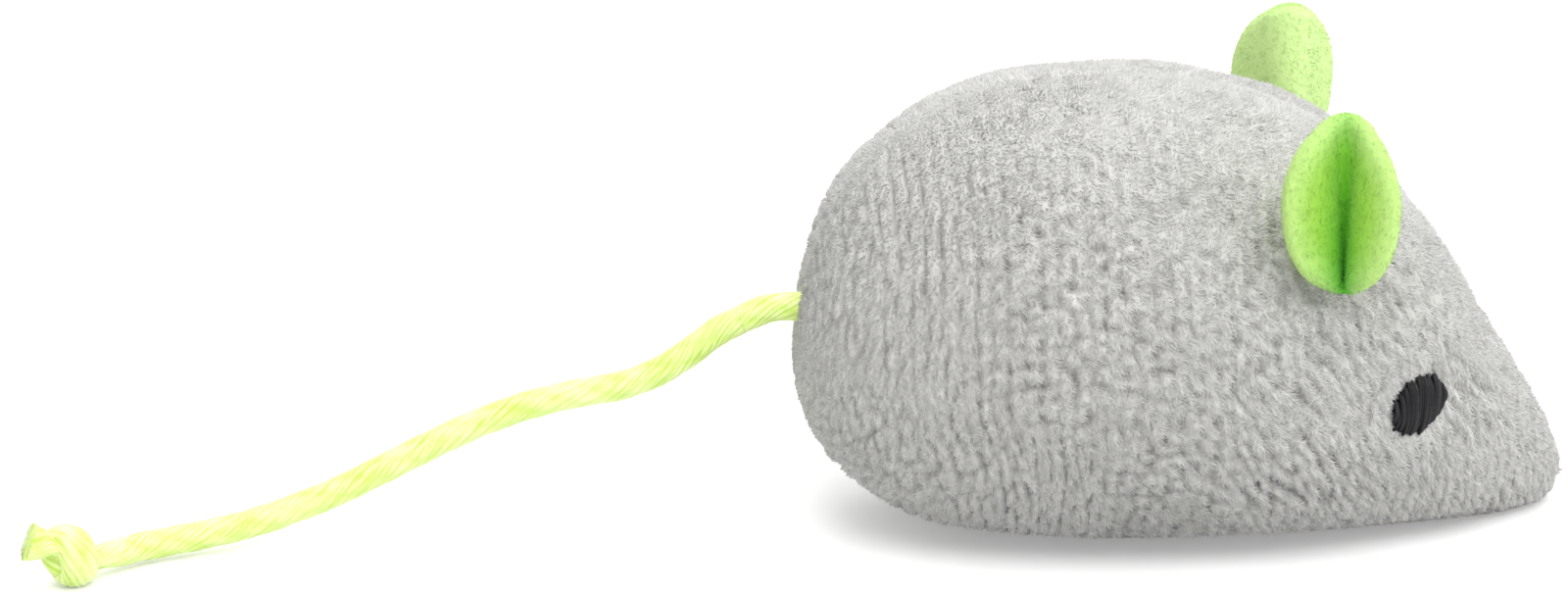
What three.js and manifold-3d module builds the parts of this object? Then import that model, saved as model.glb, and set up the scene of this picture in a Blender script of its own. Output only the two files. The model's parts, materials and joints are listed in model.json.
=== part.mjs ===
// A catnip mouse: a stuffed plush body sewn from two sides and a belly, folded felt ears, embroidered
// eyes, and a satin cord tail with an overhand knot in its end.
// Millimetres. +X points to the nose, +Y to the mouse's left and +Z up. The origin is under the middle
// of the body, on the surface that the belly rests on.
import * as THREE from 'three';
import { mergeVertices } from 'three/addons/utils/BufferGeometryUtils.js';
import Module from 'manifold-3d';

const wasm = await Module();
wasm.setup();

// Body, measured over the pile
const BODY_LENGTH = 54.8;
const BODY_WIDTH = 32;
const BODY_HEIGHT = 32.3;
const CREST_FROM_RUMP = 20.5;
const WIDEST_FROM_RUMP = 25;
const BROW_FROM_NOSE = 8.1;
const RUMP_HEIGHT = 12.9;
const NOSE_HEIGHT = 1.9;
const SNOUT_WIDTH = 5.1;
const BELLY_FLATTENING = 0.5;

// Fullness of the body's curves: 2 is an ellipse, and more is squarer
const UPPER_FULLNESS = 2.1;
const LOWER_FULLNESS = 2.3;
const RUMP_TOP_FULLNESS = 2.25;
const RUMP_UNDER_FULLNESS = 2.65;
const RUMP_PLAN_FULLNESS = 2.3;
const NOSE_BLUNTNESS_POWER = 22;

// How late the body's lines fall on the way to the nose: 1 is a straight line, and more is later
const BACK_FALL_POWER = 3;
const AXIS_FALL_POWER = 1.5;
const FLANK_FALL_POWER = 2;
const SNOUT_CLOSING_RATIO = 2;

// Plush, seams and thread
const PLUSH_THICKNESS = 2;
const BACKING_THICKNESS = 0.8;
const SEAM_ALLOWANCE = 3;
const SEAM_GAP = 0.3;
const BELLY_SEAM_HEIGHT = 1.6;
const STITCH_FROM_WALL = 1;
const THREAD_DIAMETER = 0.3;
const CLEARANCE = 0.3;
const WALL_LAP = 0.05;

// Filling
const CATNIP_LENGTH = 18;
const CATNIP_WIDTH = 11;
const CATNIP_HEIGHT = 10;
const CATNIP_X = -4;
const CATNIP_Z = 14;

// Felt ears. They are sewn in by hand: each has its own place, turn to the rear and fold at the tip.
const EAR_HEIGHT = 12.4;
const EAR_WIDTH = 10.2;
const EAR_WIDEST_SHARE = 0.5;
const EAR_ROOT_STRETCH_RATIO = 1.05;
const EAR_TOP_SHARE = 0.985;
const FELT_THICKNESS = 1.2;
const EAR_ANGLE = 31;
const EAR_LEAN_ANGLE = 5;
const EAR_FOLD_RADIUS = 1;
const EAR_ROOT_FOLD_ANGLE = 76;
const EAR_ROOT_DEPTH = 3;
const EAR_ROOT_INSIDE = 2.5;
const LEFT_EAR_FROM_NOSE = 18.1;
const RIGHT_EAR_FROM_NOSE = 18.9;
const EARS = {
  left: { fromNose: LEFT_EAR_FROM_NOSE, turn: 0, foldAtTip: 38 },
  right: { fromNose: RIGHT_EAR_FROM_NOSE, turn: 18, foldAtTip: 28 },
};

// Embroidered eyes
const EYE_LENGTH = 5.5;
const EYE_WIDTH = 3.75;
const EYE_THICKNESS = 1.2;
const EYE_SINK = 0.25;
const EYE_FROM_NOSE = 12.5;
const EYE_ANGLE = 12;
const EYE_TILT_ANGLE = 48;
const EYE_BACKING_LENGTH = 7;
const EYE_BACKING_WIDTH = 5.2;
const EYE_BACKING_THICKNESS = 0.5;

// Tail cord. Each route point is how far behind the exit, how far to the left, and how high it lies.
const CORD_DIAMETER = 2;
const TAIL_HEIGHT = 15.8;
const TAIL_ROOT_LENGTH = 3.6;
const STOP_KNOT_DIAMETER = 4;
const KNOT_CORD_DIAMETER = 1.7;
const KNOT_BELT_RADIUS = 1.25;
const KNOT_BELT_PITCH = 1.8;
const KNOT_BELT_START_ANGLE = 30;
const KNOT_BELT_END_ANGLE = 345;
const KNOT_TURN = 1.26;
const KNOT_STRAND_OFFSET = 0.45;
const STUB_LENGTH = 3.4;
const STUB_FLARE_DIAMETER = 2.8;
const STUB_FLARE_LENGTH = 1.4;
const TAIL_ROUTE = [
  [3.2, 0, 15.1], [4.9, 0, 14.3], [7.7, 0, 12.3], [9.2, 0, 11.4], [11.2, 0, 10.6], [15.7, 0, 9.8],
  [18.4, -0.1, 9.2], [21.2, -0.2, 8.3], [25.2, -0.4, 6.6], [28, -0.6, 5.3], [32.1, -1, 3.5],
  [34.8, -1.4, 2.6], [37.5, -1.9, 1.9], [41.5, -2.9, 1.4], [45.5, -4.5, 1.3], [48.2, -6.3, 1.6],
];
const KNOT_PLACE = [50.1, -8, 2.15];

// Places and sizes that follow from these
const RUMP_X = -BODY_LENGTH / 2;
const NOSE_X = BODY_LENGTH / 2;
const CREST_X = RUMP_X + CREST_FROM_RUMP;
const WIDEST_X = RUMP_X + WIDEST_FROM_RUMP;
const CORD_RADIUS = CORD_DIAMETER / 2;
const FLANGE_GAP = THREAD_DIAMETER + 2 * CLEARANCE;
const BELLY_TOP = BELLY_SEAM_HEIGHT - FLANGE_GAP / 2;
const FLANGE_TOP = BELLY_SEAM_HEIGHT + FLANGE_GAP / 2 + BACKING_THICKNESS;
const SIDES = [['left', 1], ['right', -1]];
const UP = new THREE.Vector3(0, 0, 1);

// Facets
const BODY_RINGS = 20;
const BODY_CORNERS = 20;
const CORD_CORNERS = 8;
const RING_CORNERS = 16;
const THREAD_CORNERS = 6;
const OVAL_CORNERS = 20;
const OVAL_ROWS = 12;
const LEAF_COLUMNS = 12;
const LEAF_ROWS = 8;
const BELT_POINTS = 9;
const SEAM_SAMPLES = 160;
const SEAM_STEP = 2.5;
const CORD_STEP = 4;

// Steps of the numerical slopes and searches
const SMALL_STEP = 0.01;
const HALVINGS = 40;

const { clamp, degToRad, lerp } = THREE.MathUtils;

const PLUSH = new THREE.MeshStandardMaterial({ color: 0xc6c6c4, roughness: 0.95, metalness: 0 });
const FELT = new THREE.MeshStandardMaterial({ color: 0x96e046, roughness: 0.9, metalness: 0 });
const SATIN = new THREE.MeshStandardMaterial({ color: 0xe6fa64, roughness: 0.4, metalness: 0 });
const BLACK_THREAD = new THREE.MeshStandardMaterial({ color: 0x17171a, roughness: 0.6, metalness: 0 });
const GREY_THREAD = new THREE.MeshStandardMaterial({ color: 0xb4b4b2, roughness: 0.7, metalness: 0 });
const GREEN_THREAD = new THREE.MeshStandardMaterial({ color: 0x6fb52a, roughness: 0.7, metalness: 0 });
const FIBRE = new THREE.MeshStandardMaterial({ color: 0xf2f2ee, roughness: 1, metalness: 0 });
const INTERFACING = new THREE.MeshStandardMaterial({ color: 0xe8e8e4, roughness: 1, metalness: 0 });
const DRIED_LEAF = new THREE.MeshStandardMaterial({ color: 0x6d7a45, roughness: 1, metalness: 0 });

const mouse = new THREE.Group();

function addPiece(name, shape, material, parent = mouse) {
  const mesh = new THREE.Mesh(shape.isBufferGeometry ? shape : geometryOf(shape), material);
  mesh.name = name;
  parent.add(mesh);
  return mesh;
}

// A closed geometry as a solid that can be joined and cut
function solidOf(geometry) {
  const bare = geometry.clone();
  bare.deleteAttribute('normal');
  bare.deleteAttribute('uv');
  const merged = mergeVertices(bare, 1e-4);
  const vertProperties = new Float32Array(merged.attributes.position.array);
  const triVerts = new Uint32Array(merged.index.array);
  return new wasm.Manifold(new wasm.Mesh({ numProp: 3, vertProperties, triVerts }));
}

function geometryOf(solid) {
  const { vertProperties, triVerts } = solid.getMesh();
  return meshGeometry(Array.from(vertProperties), Array.from(triVerts));
}

function meshGeometry(coordinates, corners) {
  const geometry = new THREE.BufferGeometry();
  geometry.setAttribute('position', new THREE.Float32BufferAttribute(coordinates, 3));
  geometry.setIndex(corners);
  geometry.computeVertexNormals();
  return geometry;
}

function above(solid, height) {
  return solid.trimByPlane([0, 0, 1], height);
}

function below(solid, height) {
  return solid.trimByPlane([0, 0, -1], -height);
}

// What lies on one side of the middle plane, between two distances from it
function beside(solid, side, near, far = BODY_WIDTH) {
  return solid.trimByPlane([0, side, 0], near).trimByPlane([0, -side, 0], -far);
}

// How full a curve is on the way from its middle, 0, to its end, 1
function fullness(share, power) {
  return Math.max(0, 1 - share ** power) ** (1 / power);
}

// The body's cross-section at a place along its length, drawn in by an inset on every side.
// The wedge of the snout closes sooner inside than outside.
function section(x, inset, floor) {
  const rump = RUMP_X + inset;
  const nose = NOSE_X - SNOUT_CLOSING_RATIO * inset;
  const behindCrest = clamp((CREST_X - x) / (CREST_X - rump), 0, 1);
  const behindWidest = clamp((WIDEST_X - x) / (WIDEST_X - rump), 0, 1);
  const aheadOfCrest = clamp((x - CREST_X) / (nose - CREST_X), 0, 1);
  const aheadOfWidest = clamp((x - WIDEST_X) / (nose - WIDEST_X), 0, 1);
  const noseTip = Math.sqrt(1 - aheadOfCrest ** NOSE_BLUNTNESS_POWER);
  const brow = 1 - BROW_FROM_NOSE / (NOSE_X - CREST_X);
  const pastBrow = Math.max(0, aheadOfCrest - brow);
  const slopeAtBrow = BACK_FALL_POWER * brow ** (BACK_FALL_POWER - 1);
  const fall = Math.min(aheadOfCrest, brow) ** BACK_FALL_POWER + slopeAtBrow * pastBrow;
  const axis = lerp(RUMP_HEIGHT, NOSE_HEIGHT, aheadOfCrest ** AXIS_FALL_POWER);
  const crest = BODY_HEIGHT - inset;
  const snoutShare = SNOUT_WIDTH / BODY_WIDTH;
  const taper = lerp(1, snoutShare, aheadOfWidest ** FLANK_FALL_POWER);
  return {
    rump,
    nose,
    axis,
    rise: (crest * (1 - fall) - axis) * noseTip * fullness(behindCrest, RUMP_TOP_FULLNESS),
    drop: (axis - floor + BELLY_FLATTENING) * noseTip * fullness(behindWidest, RUMP_UNDER_FULLNESS),
    halfWidth: (BODY_WIDTH / 2 - inset) * taper * noseTip * fullness(behindWidest, RUMP_PLAN_FULLNESS),
  };
}

// A point on the body's skin. The angle is 0 at the left flank and a right angle at the spine.
function skinPoint(x, angle, inset = 0, floor = 0) {
  const { axis, rise, drop, halfWidth } = section(x, inset, floor);
  const out = Math.cos(angle);
  const up = Math.sin(angle);
  const power = 2 / (up > 0 ? UPPER_FULLNESS : LOWER_FULLNESS);
  const y = halfWidth * Math.sign(out) * Math.abs(out) ** power;
  const z = axis + (up > 0 ? rise : drop) * Math.sign(up) * Math.abs(up) ** power;
  return new THREE.Vector3(x, y, z);
}

function skinNormal(x, angle) {
  const along = skinPoint(x + SMALL_STEP, angle).sub(skinPoint(x - SMALL_STEP, angle));
  const around = skinPoint(x, angle + SMALL_STEP).sub(skinPoint(x, angle - SMALL_STEP));
  return around.cross(along).normalize();
}

function isInside(point, inset, floor) {
  const { rump, nose, axis, rise, drop, halfWidth } = section(point.x, inset, floor);
  if (point.x <= rump || point.x >= nose) {
    return false;
  }
  const up = point.z - axis;
  const power = up > 0 ? UPPER_FULLNESS : LOWER_FULLNESS;
  const reach = up > 0 ? rise : drop;
  return (Math.abs(point.y) / halfWidth) ** power + (Math.abs(up) / reach) ** power < 1;
}

// How far a line runs from a point outside the body until it goes in
function depthToSkin(point, direction, inset, furthest) {
  let outside = 0;
  let inside = furthest;
  for (let i = 0; i < HALVINGS; i += 1) {
    const middle = (outside + inside) / 2;
    if (isInside(point.clone().addScaledVector(direction, middle), inset, BELLY_TOP)) {
      inside = middle;
    } else {
      outside = middle;
    }
  }
  return outside;
}

// The body drawn in by an inset, as a closed solid with a flat underside
function bodySolid(inset, floor) {
  const { rump, nose, axis } = section(NOSE_X, inset, floor);
  const coordinates = [rump, 0, RUMP_HEIGHT];
  const corners = [];
  for (let ring = 1; ring < BODY_RINGS; ring += 1) {
    const x = lerp(rump, nose, (1 - Math.cos(Math.PI * ring / BODY_RINGS)) / 2);
    for (let corner = 0; corner < BODY_CORNERS; corner += 1) {
      coordinates.push(...skinPoint(x, 2 * Math.PI * corner / BODY_CORNERS, inset, floor));
    }
  }
  coordinates.push(nose, 0, axis);
  const last = coordinates.length / 3 - 1;
  const at = (ring, corner) => 1 + (ring - 1) * BODY_CORNERS + corner % BODY_CORNERS;
  for (let corner = 0; corner < BODY_CORNERS; corner += 1) {
    corners.push(0, at(1, corner + 1), at(1, corner));
    corners.push(last, at(BODY_RINGS - 1, corner), at(BODY_RINGS - 1, corner + 1));
    for (let ring = 1; ring < BODY_RINGS - 1; ring += 1) {
      corners.push(at(ring, corner), at(ring, corner + 1), at(ring + 1, corner + 1));
      corners.push(at(ring, corner), at(ring + 1, corner + 1), at(ring + 1, corner));
    }
  }
  return above(solidOf(meshGeometry(coordinates, corners)), floor);
}

// A tube of few corners along points, with flat ends
function tube(points, diameter, corners, stepLength) {
  const path = new THREE.CatmullRomCurve3(points, false, 'centripetal');
  const outline = new THREE.Shape();
  outline.setFromPoints(Array.from({ length: corners }, (_, corner) => {
    const angle = 2 * Math.PI * corner / corners;
    return new THREE.Vector2(Math.cos(angle), Math.sin(angle)).multiplyScalar(diameter / 2);
  }));
  const steps = Math.max(1, Math.round(path.getLength() / stepLength));
  return new THREE.ExtrudeGeometry(outline, { steps, bevelEnabled: false, extrudePath: path });
}

function rod(start, end, diameter, corners) {
  return solidOf(tube([start, end], diameter, corners, start.distanceTo(end)));
}

function ball(centre, diameter) {
  const geometry = new THREE.SphereGeometry(diameter / 2, CORD_CORNERS, CORD_CORNERS - 2);
  return solidOf(geometry.translate(...centre));
}

function threadRing(radius) {
  return new THREE.TorusGeometry(radius, THREAD_DIAMETER / 2, THREAD_CORNERS, RING_CORNERS);
}

// Turns a shape made about its own Z axis to stand at a place, with Z and X along two directions
function stand(geometry, place, zAxis, xAxis) {
  const yAxis = zAxis.clone().cross(xAxis).normalize();
  const turn = new THREE.Matrix4().makeBasis(yAxis.clone().cross(zAxis).normalize(), yAxis, zAxis);
  return geometry.applyMatrix4(turn.setPosition(place));
}

// The plush wall, and the strip inside it that the seam allowances are turned in from
const wallInside = bodySolid(PLUSH_THICKNESS, BELLY_TOP);
const wall = bodySolid(0, 0).subtract(wallInside);
const allowanceStrip = bodySolid(PLUSH_THICKNESS - WALL_LAP, BELLY_TOP)
  .subtract(bodySolid(PLUSH_THICKNESS + SEAM_ALLOWANCE, BELLY_TOP));

// Filling: two wads that close on the catnip between them, and swell to the wall past the seam allowances
const wadTop = above(bodySolid(PLUSH_THICKNESS + CLEARANCE, BELLY_TOP), FLANGE_TOP + CLEARANCE);
const wadEdge = FLANGE_GAP / 2 + BACKING_THICKNESS + CLEARANCE;
let filling = bodySolid(PLUSH_THICKNESS + SEAM_ALLOWANCE + CLEARANCE, BELLY_TOP + CLEARANCE);
for (const [, side] of SIDES) {
  filling = filling.add(beside(wadTop, side, wadEdge));
}
const catnip = (growth) => new THREE.SphereGeometry(0.5, OVAL_CORNERS, OVAL_ROWS)
  .scale(CATNIP_LENGTH + growth, CATNIP_WIDTH + growth, CATNIP_HEIGHT + growth)
  .translate(CATNIP_X, 0, CATNIP_Z);
addPiece('catnip_filling', catnip(0), DRIED_LEAF);
filling = filling.subtract(solidOf(catnip(2 * CLEARANCE)));

// Tail anchor: the inner end of the cord runs in through the rump seam to a stop knot, and a ring of
// thread binds it there. Its room is cut out of the panels and the filling.
const inwards = new THREE.Vector3(1, 0, 0);
const behindRump = new THREE.Vector3(RUMP_X - CORD_DIAMETER, 0, TAIL_HEIGHT);
const exitDepth = depthToSkin(behindRump, inwards, 0, BODY_LENGTH / 2);
const tailExit = behindRump.clone().addScaledVector(inwards, exitDepth);
const tailWall = depthToSkin(tailExit, inwards, PLUSH_THICKNESS, BODY_LENGTH / 2);
const bindingRadius = CORD_RADIUS + CLEARANCE + THREAD_DIAMETER / 2;
const bindingDepth = tailWall + CLEARANCE + THREAD_DIAMETER / 2;
const bindingRoom = 2 * bindingRadius + THREAD_DIAMETER + 2 * CLEARANCE;
const stopKnotDepth = bindingDepth + THREAD_DIAMETER / 2 + CLEARANCE + STOP_KNOT_DIAMETER / 2;
const inTail = (depth) => tailExit.clone().addScaledVector(inwards, depth);
const tailAnchor = rod(inTail(0), inTail(stopKnotDepth), CORD_DIAMETER, CORD_CORNERS)
  .add(ball(inTail(stopKnotDepth), STOP_KNOT_DIAMETER));
const cordRoom = CORD_DIAMETER + 2 * CLEARANCE;
const tailAnchorRoom = rod(inTail(-CORD_DIAMETER), inTail(stopKnotDepth), cordRoom, CORD_CORNERS)
  .add(rod(inTail(tailWall), inTail(stopKnotDepth), bindingRoom, RING_CORNERS))
  .add(ball(inTail(stopKnotDepth), STOP_KNOT_DIAMETER + 2 * CLEARANCE));
const binding = threadRing(bindingRadius);
addPiece('tail_anchor', tailAnchor, SATIN);
addPiece('tail_stitch', stand(binding, inTail(bindingDepth), inwards, UP), GREY_THREAD);
filling = filling.subtract(tailAnchorRoom);

// A felt leaf, folded along its middle. Across is -1 to 1 over its width, and height 0 to 1 up the fold.
// The oval is stretched below its widest place, so that the root keeps some width.
function leafPoint(across, height, foldAtTip) {
  const lowerOval = EAR_WIDEST_SHARE * EAR_ROOT_STRETCH_RATIO;
  const upperOval = 1 - EAR_WIDEST_SHARE;
  const oval = (height - EAR_WIDEST_SHARE) / (height < EAR_WIDEST_SHARE ? lowerOval : upperOval);
  const reach = Math.abs(across) * EAR_WIDTH / 2 * Math.sqrt(Math.max(0, 1 - oval ** 2));
  const fold = degToRad(lerp(EAR_ROOT_FOLD_ANGLE, foldAtTip, height));
  const bend = Math.min(fold, reach / EAR_FOLD_RADIUS);
  const flat = reach - bend * EAR_FOLD_RADIUS;
  const sideways = EAR_FOLD_RADIUS * Math.sin(bend) + flat * Math.cos(fold);
  const outwards = EAR_FOLD_RADIUS * (1 - Math.cos(bend)) + flat * Math.sin(fold);
  return new THREE.Vector3(Math.sign(across) * sideways, outwards, height * EAR_HEIGHT);
}

function leafNormal(across, height, foldAtTip) {
  const at = (acrossStep, heightStep) => leafPoint(across + acrossStep, height + heightStep, foldAtTip);
  const width = at(SMALL_STEP, 0).sub(at(-SMALL_STEP, 0));
  const rise = at(0, SMALL_STEP).sub(at(0, -SMALL_STEP));
  return rise.cross(width).normalize();
}

// The leaf with its thickness: a front and a back sheet, closed round the rim. It ends a little short
// of the oval's top, where its width would be nothing.
function earLeaf(foldAtTip) {
  const coordinates = [];
  const corners = [];
  for (const face of [FELT_THICKNESS / 2, -FELT_THICKNESS / 2]) {
    for (let row = 0; row <= LEAF_ROWS; row += 1) {
      const height = EAR_TOP_SHARE * Math.sin(Math.PI / 2 * row / LEAF_ROWS);
      for (let column = 0; column <= LEAF_COLUMNS; column += 1) {
        const place = [2 * column / LEAF_COLUMNS - 1, height, foldAtTip];
        coordinates.push(...leafPoint(...place).addScaledVector(leafNormal(...place), face));
      }
    }
  }
  const rows = LEAF_ROWS;
  const columns = LEAF_COLUMNS;
  const quad = (a, b, c, d) => corners.push(a, b, c, a, c, d);
  const front = (row, column) => row * (columns + 1) + column;
  const back = (row, column) => front(row + rows + 1, column);
  for (let row = 0; row < rows; row += 1) {
    for (let column = 0; column < columns; column += 1) {
      quad(front(row, column), front(row + 1, column), front(row + 1, column + 1), front(row, column + 1));
      quad(back(row, column), back(row, column + 1), back(row + 1, column + 1), back(row + 1, column));
    }
    quad(front(row, 0), back(row, 0), back(row + 1, 0), front(row + 1, 0));
    quad(front(row, columns), front(row + 1, columns), back(row + 1, columns), back(row, columns));
  }
  for (let column = 0; column < columns; column += 1) {
    quad(front(0, column), front(0, column + 1), back(0, column + 1), back(0, column));
    quad(front(rows, column), back(rows, column), back(rows, column + 1), front(rows, column + 1));
  }
  return meshGeometry(coordinates, corners);
}

// Ears: the leaf stands off the pile, and its folded root is sewn through a slit in the side panel
const slits = {};
for (const [name, side] of SIDES) {
  const { fromNose, turn, foldAtTip } = EARS[name];
  const x = NOSE_X - fromNose;
  const angle = side > 0 ? degToRad(EAR_ANGLE) : Math.PI - degToRad(EAR_ANGLE);
  const seat = skinPoint(x, angle);
  const out = skinNormal(x, angle);
  const forward = new THREE.Vector3(1, 0, 0);
  const wallDepth = depthToSkin(seat, out.clone().negate(), PLUSH_THICKNESS, BODY_WIDTH / 2);
  const rootEnd = wallDepth + EAR_ROOT_INSIDE;
  const rootBlock = (growth, top, end) => {
    const block = new THREE.BoxGeometry(2 * FELT_THICKNESS + growth, EAR_ROOT_DEPTH + growth, top + end);
    return stand(block.translate(0, 0, (top - end) / 2), seat, out, forward);
  };
  const ringRadius = Math.hypot(FELT_THICKNESS, EAR_ROOT_DEPTH / 2) + CLEARANCE + THREAD_DIAMETER / 2;
  const ringDepth = wallDepth + CLEARANCE + THREAD_DIAMETER / 2;
  const atDepth = (depth) => seat.clone().addScaledVector(out, -depth);
  const ringRoom = 2 * ringRadius + THREAD_DIAMETER + 2 * CLEARANCE;
  slits[name] = solidOf(rootBlock(2 * CLEARANCE, PLUSH_THICKNESS, rootEnd + CLEARANCE))
    .add(rod(atDepth(wallDepth), atDepth(rootEnd + CLEARANCE), ringRoom, RING_CORNERS));
  filling = filling.subtract(slits[name]);
  addPiece(`${name}_ear_root`, rootBlock(0, 0, rootEnd), FELT);
  const ring = stand(threadRing(ringRadius), atDepth(ringDepth), out, forward);
  addPiece(`${name}_ear_stitch`, ring, GREEN_THREAD);

  const earStand = new THREE.Group();
  earStand.position.copy(seat).addScaledVector(out, FELT_THICKNESS / 2 + 2 * CLEARANCE);
  earStand.rotation.z = side > 0 ? degToRad(turn) : Math.PI - degToRad(turn);
  mouse.add(earStand);
  const leaf = addPiece(`${name}_ear`, earLeaf(foldAtTip), FELT, earStand);
  leaf.rotation.x = -degToRad(EAR_LEAN_ANGLE);
}

// Eyes: a raised oval of satin stitches, sunk in the pile, and a stiff patch behind it inside the panel
const sockets = {};
const patchOuter = bodySolid(PLUSH_THICKNESS + CLEARANCE, BELLY_TOP);
const patchInner = bodySolid(PLUSH_THICKNESS + CLEARANCE + EYE_BACKING_THICKNESS, BELLY_TOP);
const patchRoom = bodySolid(PLUSH_THICKNESS + 2 * CLEARANCE + EYE_BACKING_THICKNESS, BELLY_TOP);
for (const [name, side] of SIDES) {
  const x = NOSE_X - EYE_FROM_NOSE;
  const angle = side > 0 ? degToRad(EYE_ANGLE) : Math.PI - degToRad(EYE_ANGLE);
  const seat = skinPoint(x, angle);
  const out = skinNormal(x, angle);
  const upwards = UP.clone().addScaledVector(out, -UP.dot(out)).normalize();
  const forward = new THREE.Vector3(1, 0, 0).addScaledVector(out, -out.x).normalize();
  const tilt = degToRad(EYE_TILT_ANGLE);
  const longAxis = forward.multiplyScalar(Math.cos(tilt)).addScaledVector(upwards, Math.sin(tilt));
  const pad = (growth) => {
    const oval = new THREE.SphereGeometry(0.5, OVAL_CORNERS, OVAL_ROWS);
    oval.scale(EYE_LENGTH + growth, EYE_WIDTH + growth, EYE_THICKNESS + growth);
    return stand(oval, seat.clone().addScaledVector(out, -EYE_SINK), out, longAxis);
  };
  const patch = (growth) => {
    const disc = new THREE.CylinderGeometry(0.5, 0.5, 4 * PLUSH_THICKNESS, OVAL_CORNERS);
    disc.rotateX(Math.PI / 2).scale(EYE_BACKING_LENGTH + growth, EYE_BACKING_WIDTH + growth, 1);
    return solidOf(stand(disc, seat, out, longAxis));
  };
  sockets[name] = solidOf(pad(2 * CLEARANCE));
  filling = filling.subtract(patch(2 * CLEARANCE).subtract(patchRoom));
  addPiece(`${name}_eye`, pad(0), BLACK_THREAD);
  addPiece(`${name}_eye_backing`, patchOuter.intersect(patch(0)).subtract(patchInner), INTERFACING);
}

// Plush panels: each side has its seam allowance turned in along the spine and along the belly
for (const [name, side] of SIDES) {
  const skin = above(beside(wall, side, SEAM_GAP / 2), BELLY_SEAM_HEIGHT + SEAM_GAP / 2);
  const strip = above(beside(allowanceStrip, side, FLANGE_GAP / 2), BELLY_SEAM_HEIGHT + FLANGE_GAP / 2);
  const panel = skin
    .add(beside(strip, side, FLANGE_GAP / 2, FLANGE_GAP / 2 + BACKING_THICKNESS))
    .add(below(strip, FLANGE_TOP))
    .subtract(tailAnchorRoom)
    .subtract(slits[name])
    .subtract(sockets[name]);
  addPiece(`${name}_side_panel`, panel, PLUSH);
}
addPiece('belly_panel', below(wall, BELLY_SEAM_HEIGHT - SEAM_GAP / 2), PLUSH);
addPiece('front_stuffing', filling.trimByPlane([1, 0, 0], CATNIP_X + CLEARANCE / 2), FIBRE);
addPiece('rear_stuffing', filling.trimByPlane([-1, 0, 0], CLEARANCE / 2 - CATNIP_X), FIBRE);

// Seam threads lie between the seam allowances, along the stitch line
const stitchInset = PLUSH_THICKNESS + STITCH_FROM_WALL;
const profile = [];
for (let sample = 0; sample <= SEAM_SAMPLES; sample += 1) {
  const share = (1 - Math.cos(Math.PI * sample / SEAM_SAMPLES)) / 2;
  profile.push(lerp(RUMP_X + stitchInset, NOSE_X - SNOUT_CLOSING_RATIO * stitchInset, share));
}
const spineLine = profile.map((x) => skinPoint(x, Math.PI / 2, stitchInset, BELLY_TOP));
const rumpLine = profile.map((x) => skinPoint(x, -Math.PI / 2, stitchInset, BELLY_TOP));
const aboveTail = TAIL_HEIGHT + bindingRoom / 2 + CLEARANCE;
const spinePoints = spineLine.filter(({ x, z }) => z > aboveTail || x > CREST_X);
const rumpPoints = rumpLine.filter(({ x, z }) => z > FLANGE_TOP + CLEARANCE && x < WIDEST_X);
addPiece('spine_seam_thread', tube(spinePoints, THREAD_DIAMETER, THREAD_CORNERS, SEAM_STEP), GREY_THREAD);
addPiece('rump_seam_thread', tube(rumpPoints, THREAD_DIAMETER, THREAD_CORNERS, SEAM_STEP), GREY_THREAD);

// The belly's stitch line, from the rump round the left flank and the snout and back along the right
const bellyLine = rumpLine.filter(({ z }) => z < BELLY_SEAM_HEIGHT).map(({ x }) => x);
const bellyEdge = (x, side) => {
  const { axis, drop, halfWidth } = section(x, stitchInset, BELLY_TOP);
  const reach = halfWidth * fullness((axis - BELLY_SEAM_HEIGHT) / drop, LOWER_FULLNESS);
  return new THREE.Vector3(x, side * Math.max(reach, THREAD_DIAMETER), BELLY_SEAM_HEIGHT);
};
const bellyPoints = [
  ...bellyLine.map((x) => bellyEdge(x, 1)),
  ...bellyLine.toReversed().map((x) => bellyEdge(x, -1)),
];
addPiece('belly_seam_thread', tube(bellyPoints, THREAD_DIAMETER, THREAD_CORNERS, SEAM_STEP), GREY_THREAD);

// Tail: the cord turns about the end of its root, and the root about the point where it leaves the seam.
// Each starts with a round end there.
const routePoint = ([behind, left, height]) => new THREE.Vector3(tailExit.x - behind, left, height);
const swingPivot = new THREE.Vector3(tailExit.x - CORD_RADIUS - CLEARANCE, 0, TAIL_HEIGHT);
const tailPoints = [swingPivot, ...TAIL_ROUTE.map(routePoint)];
const tailPath = new THREE.CatmullRomCurve3(tailPoints, false, 'centripetal');
const tailLength = tailPath.getLength();
function tailStretch(from, to) {
  const count = Math.max(2, Math.round((to - from) / CORD_STEP));
  const points = [];
  for (let i = 0; i <= count; i += 1) {
    points.push(tailPath.getPointAt(lerp(from, to, i / count) / tailLength));
  }
  return solidOf(tube(points, CORD_DIAMETER, CORD_CORNERS, CORD_STEP)).add(ball(points[0], CORD_DIAMETER));
}
const liftPivot = TAIL_ROOT_LENGTH + CORD_RADIUS + CLEARANCE;
addPiece('tail_root', tailStretch(0, TAIL_ROOT_LENGTH), SATIN);
addPiece('tail_cord', tailStretch(liftPivot, tailLength - CLEARANCE), SATIN);

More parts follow.
